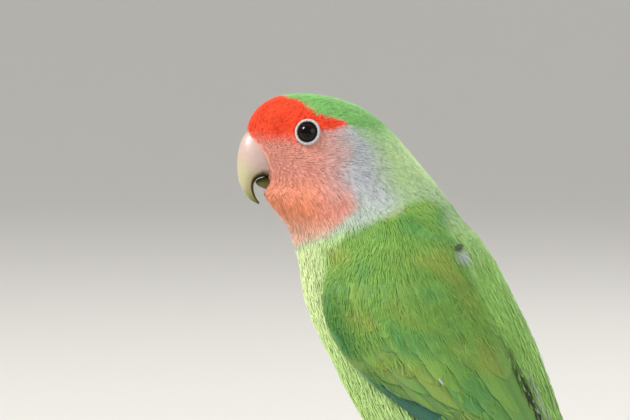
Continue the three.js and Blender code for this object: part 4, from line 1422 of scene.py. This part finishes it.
def makeWingCoat(side, name):
    # soft coverts over the upper wing, and loose barbs over the larger coverts below them
    draw = np.random.default_rng(31)
    s, t = draw.uniform(0.0, 0.98, 32000), draw.uniform(-0.06, 0.66, 32000)
    p, _, out = wingFrame(s, t)
    kept = thinOut(p - out * wingSink(t)[:, None], np.interp(t, [0, 0.22, 0.4, 0.6], [1.15, 1.5, 2.0, 2.2]))
    inEdges = (s > np.interp(t, [0, 0.15, 0.3], [0, 0.02, 0.07])) & (
        s < np.interp(t, [0.1, 0.25, 0.5], [0.98, 0.95, 0.93])
    )
    kept = kept[
        inEdges[kept]
        & ((t[kept] < 0.27) | (draw.uniform(size=len(kept)) < np.interp(t[kept], [0.3, 0.55], [0.6, 0.2])))
    ]
    s, t = s[kept], t[kept]
    count = len(s)
    length = np.interp(t, [0, 0.2, 0.3, 0.6], [5.0, 6.5, 4.2, 3.6]) * draw.uniform(0.8, 1.15, count)
    roots, path = sheetFeathers(wingFrame, s, t, wingSink, length, draw)
    roots["uv"] = np.stack([0.02 + 0.46 * s + (0.5 if side > 0 else 0), 0.1 + 1.3 * t], axis=-1)
    look = {"seed": 41, "barbs": 13, "width": np.interp(t, [0, 0.3], [3.4, 5.0]),
            "depth": np.interp(t, [0.16, 0.34], [1.15, 0.4]) * draw.uniform(0.8, 1, count),
            "barb": np.interp(t, [0, 0.3], [0.19, 0.13]), "heights": (-0.6, 0.1, 0.45, 0.6), "vary": 0.06,
            "contrast": 0.1}
    upper = t + draw.uniform(0, 0.1, count) < 0.25
    made = []
    for part, withVanes in ((upper, True), (~upper, False)):
        partLook = dict(look, vanes=withVanes, **{k: look[k][part] for k in ("width", "depth", "barb")})
        made.append(feathersMesh(keep(roots, part), path[part], partLook, wingMottle))
    points, faces, normals, tint, bake = joined(made)
    if side > 0:
        points, normals, faces = points * [1, -1, 1], normals * [1, -1, 1], faces[:, ::-1]
    coatPiece("wingCoat" + name, (points, faces, normals, tint, bake), "wing_feathers")


for side, name in ((-1, "Left"), (1, "Right")):
    makeWingCoat(side, name)

# the back between the folded wings: an arch from one inner edge to the other, a little under both
# base is the colour of painted shadow: a dark line on the back beside the near wing's inner edge, where the
# wing's edge shades it
backLook = {
    "arch": (
        [0, 0.3, 0.8], [2.6, 2.0, 1.0]
    ), "sink": 0.8, "lap": 1.6, "green": "#9CCE6A", "base": "#34442B", "grey": "#A9AFAC",
    "down": "#BFC3C9", "downBase": "#4A4850",
}


def backFrame(q, t):
    q, t = np.broadcast_arrays(np.asarray(q, float), np.asarray(t, float))
    left = wingPoint(np.ones_like(t), t)
    ahead = wingPoint(np.ones_like(t), t + 0.01) - wingPoint(np.ones_like(t), t - 0.01)
    ahead[..., 1] = 0
    ahead = unit(ahead)
    over = np.stack([-ahead[..., 2], np.zeros_like(t), ahead[..., 0]], axis=-1)
    arch = np.interp(t, *backLook["arch"])
    span = -2 * left[..., 1]
    # the left edge stands over the back; the back lies over the right edge
    p = left + over * (arch * 4 * q * (1 - q) - backLook["sink"] + backLook["lap"] * q)[..., None]
    p[..., 1] += span * q
    slope = arch * 4 * (1 - 2 * q)
    sideWay = np.array([0.0, 1.0, 0.0])
    across = unit(sideWay * span[..., None] + over * slope[..., None])
    return p, across, unit(over * span[..., None] - sideWay * slope[..., None])


def makeBackCoat():
    draw = np.random.default_rng(37)
    q, t = draw.uniform(0.0, 1.16, 14000), draw.uniform(0.02, 0.86, 14000)
    p, _, _ = backFrame(q, t)
    kept = thinOut(p, np.full(len(p), 1.3))
    q, t = q[kept], t[kept]
    count = len(q)
    roots, path = sheetFeathers(
        backFrame, q, t, lambda at: np.full(len(at), 0.4), draw.uniform(5.5, 7.5, count), draw
    )
    roots["uv"] = np.stack([0.36 + 0.1 * q, 0.1 + t], axis=-1)
    green, base, grey = (linearHex(backLook[k]) for k in ("green", "base", "grey"))

    def tintAt(where):
        fromEdge = np.interp(
            where[:, 2], [19.5, 44.5, 65, 84, 101.5], [2.8, 3, 4.8, 6.6, 9.5]
        ) + where[:, 1]
        tint = mix(green, wingColours["covert"], smooth(ripple(where, 9, 17), -1, 1) * 0.35)
        # painted shadow: the back darkens in a thin line beside the near wing's inner edge, most strongly low
        # down
        low = smooth(where[:, 2], 78, 66) * 0.7 + smooth(where[:, 2], 92, 84) * 0.3
        shadowLineWidth = np.interp(where[:, 2], [60, 90], [0.95, 0.5])
        toRight = fromEdge - 2 * where[:, 1]
        tint = mix(tint, wingMottle(where * [1, -1, 1]), smooth(toRight, 1.5, -1.5))
        tint = mix(
            tint, grey,
            smooth(fromEdge, 0.9, 1.3) * smooth(fromEdge, 2.6, 1.9) * smooth(where[:, 2], 72, 64) * 0.6
        )
        return mix(tint, base, smooth(fromEdge, shadowLineWidth, shadowLineWidth - 0.5) * low)

    look = {"seed": 43, "barbs": 12, "width": np.full(count, 4.0), "depth": draw.uniform(0.6, 0.8, count),
            "vanes": True,
            "barb": np.full(count, 0.18), "heights": (-0.4, 0.2, 0.5, 0.6), "vary": 0.06, "contrast": 0.12}
    coatPiece("backCoat", feathersMesh(roots, path, look, tintAt), "wing_feathers")


def downLook(seed, barbs, count, width, depth, barb):
    sizes = {"width": np.full(count, width), "depth": np.full(count, depth), "barb": np.full(count, barb)}
    return {
        "seed": seed, "barbs": barbs, "heights": (0, 0, 0, 0), "vanes": False, "vary": 0.1,
        "contrast": 0.15, **sizes
    }


def plainTint(key):
    return lambda where: np.repeat(linearHex(backLook[key])[None], len(where), axis=0)


def makeDown():
    # loose down that shows at the edge of the left wing, and one white barb tip lower on the wing
    draw = np.random.default_rng(47)
    tufts = [((44.6, -7.4, 98.4), (4.0, 1.6, -6.0), 6.0, 2.6, "down", 6),
             ((45.0, -7.9, 97.2), (3.4, 1.9, -6.4), 5.4, 2.6, "down", 5),
             ((44.2, -7.4, 99.2), (3.6, 1.2, -6.0), 2.4, 2.2, "downBase", 7),
             ((44.9, -6.8, 98.6), (4.6, 1.0, -5.6), 2.0, 2.2, "downBase", 5)]
    made = []
    for index, (root, way, length, width, colour, barbs) in enumerate(tufts):
        p = np.array(root) + draw.normal(size=(5, 3)) * 0.35
        found = [skinTree.find_nearest(q) for q in p.tolist()]
        roots = {
            "p": np.array([f[0] for f in found]), "n": unit(np.array([f[1] for f in found])),
            "uv": np.full((5, 2), 0.5)
        }
        roots["n"] = roots["n"] * np.sign(roots["n"][:, :1])
        path = coatPaths(
            roots, unit(np.array(way) + draw.normal(size=(5, 3)) * 1.1), np.full(5, length), skinTree
        )
        made.append(
            feathersMesh(roots, path, downLook(50 + index, barbs, 5, width, 1.75, 0.09), plainTint(colour))
        )
    place, _, out = wingFrame(np.array([0.53]), np.array([0.41]))
    way = unit(wingPoint(np.array([0.53]), np.array([0.45])) - place)
    roots = {"p": place + out * 0.1, "n": out, "uv": np.full((1, 2), 0.5)}
    path = roots["p"][:, None] + way[:, None] * 2.6 * vaneSteps[None, :, None]
    made.append(feathersMesh(roots, path, downLook(54, 4, 1, 0.4, 0.5, 0.14), plainTint("down")))
    coatPiece("down", joined(made), "wing_feathers")


makeBackCoat()
makeDown()
print("coat made")

# ---- floor, light and camera
studio = {
    "aim": (4.38, -4.8, 105.4), "distance": 854.0, "azimuth": 30.0, "elevation": 3.0, "lens": 200.0,
    "floorRadius": 2.2, "floorBend": 1.6, "bendSteps": 12, "floor": "#BFBDB9", "sky": "#EDEDEB",
    "skyStrength": 1.08,
}


def makeFloor():
    # a disc whose far rim curves up all round, so that no edge shows behind the bird
    selectNone()
    bpy.ops.mesh.primitive_circle_add(vertices=128, radius=studio["floorRadius"], fill_type="NGON")
    floor = bpy.context.object
    floor.name = "floor"
    bpy.ops.object.mode_set(mode="EDIT")
    bend, steps = studio["floorBend"], studio["bendSteps"]
    for k in range(steps):
        turn = math.radians(90) * (k + 0.5) / steps
        rise = bend * math.pi / (2 * steps) * math.sin(turn)
        grow = bend * math.pi / (2 * steps) * math.cos(turn)
        bpy.ops.mesh.extrude_region_move(TRANSFORM_OT_translate={"value": (0, 0, rise)})
        radius = studio["floorRadius"] + bend * math.sin(math.radians(90) * k / steps)
        bpy.ops.transform.resize(value=((radius + grow) / radius,) * 2 + (1,), center_override=(0, 0, 0))
    bpy.ops.object.mode_set(mode="OBJECT")
    floor.data.shade_smooth()
    # matt emulsion paint, lit a little from within so that it reads as a bright studio floor
    material, _, shader = newMaterial("matt painted floor")
    setShader(
        shader, Base_Color=(*linearHex(studio["floor"]), 1), Roughness=0.85, Emission_Color=(1, 1, 1, 1),
        Emission_Strength=0.17
    )
    floor.data.materials.append(material)


def makeLight(name, where, size, power, colour):
    data = bpy.data.lights.new(name, "AREA")
    data.shape = "DISK"
    data.size = size
    data.energy = power
    data.color = colour
    light = bpy.data.objects.new(name, data)
    bpy.context.collection.objects.link(light)
    light.location = where
    aim = Vector(toFrame(studio["aim"])) - Vector(where)
    light.rotation_euler = aim.to_track_quat("-Z", "Y").to_euler()


def makeCamera():
    azimuth, elevation = math.radians(studio["azimuth"]), math.radians(studio["elevation"])
    level = math.cos(elevation)
    back = Vector((math.sin(azimuth) * level, -math.cos(azimuth) * level, math.sin(elevation)))
    aim = Vector(toFrame(studio["aim"]))
    data = bpy.data.cameras.new("camera")
    data.lens = studio["lens"]
    data.sensor_width = 36
    data.clip_end = 50
    camera = bpy.data.objects.new("camera", data)
    bpy.context.collection.objects.link(camera)
    camera.location = aim + back * studio["distance"] * 0.001
    camera.rotation_euler = back.to_track_quat("Z", "Y").to_euler()
    bpy.context.scene.camera = camera


makeFloor()
makeLight("keyLight", (-0.9, -0.8, 1.0), 0.42, 22.5, (1.0, 0.98, 0.95))
makeLight("fillLight", (0.9, -0.6, 0.5), 0.9, 4.5, (0.95, 0.98, 1.0))
makeLight("backLight", (0.3, 0.9, 0.9), 0.8, 8.0, (1.0, 1.0, 1.0))
world = bpy.data.worlds.new("sky")
world.use_nodes = True
sky = world.node_tree.nodes["Background"].inputs
sky["Color"].default_value = (*linearHex(studio["sky"]), 1)
sky["Strength"].default_value = studio["skyStrength"]
bpy.context.scene.world = world
bpy.context.scene.view_settings.view_transform = "Standard"
makeCamera()
print("studio made")
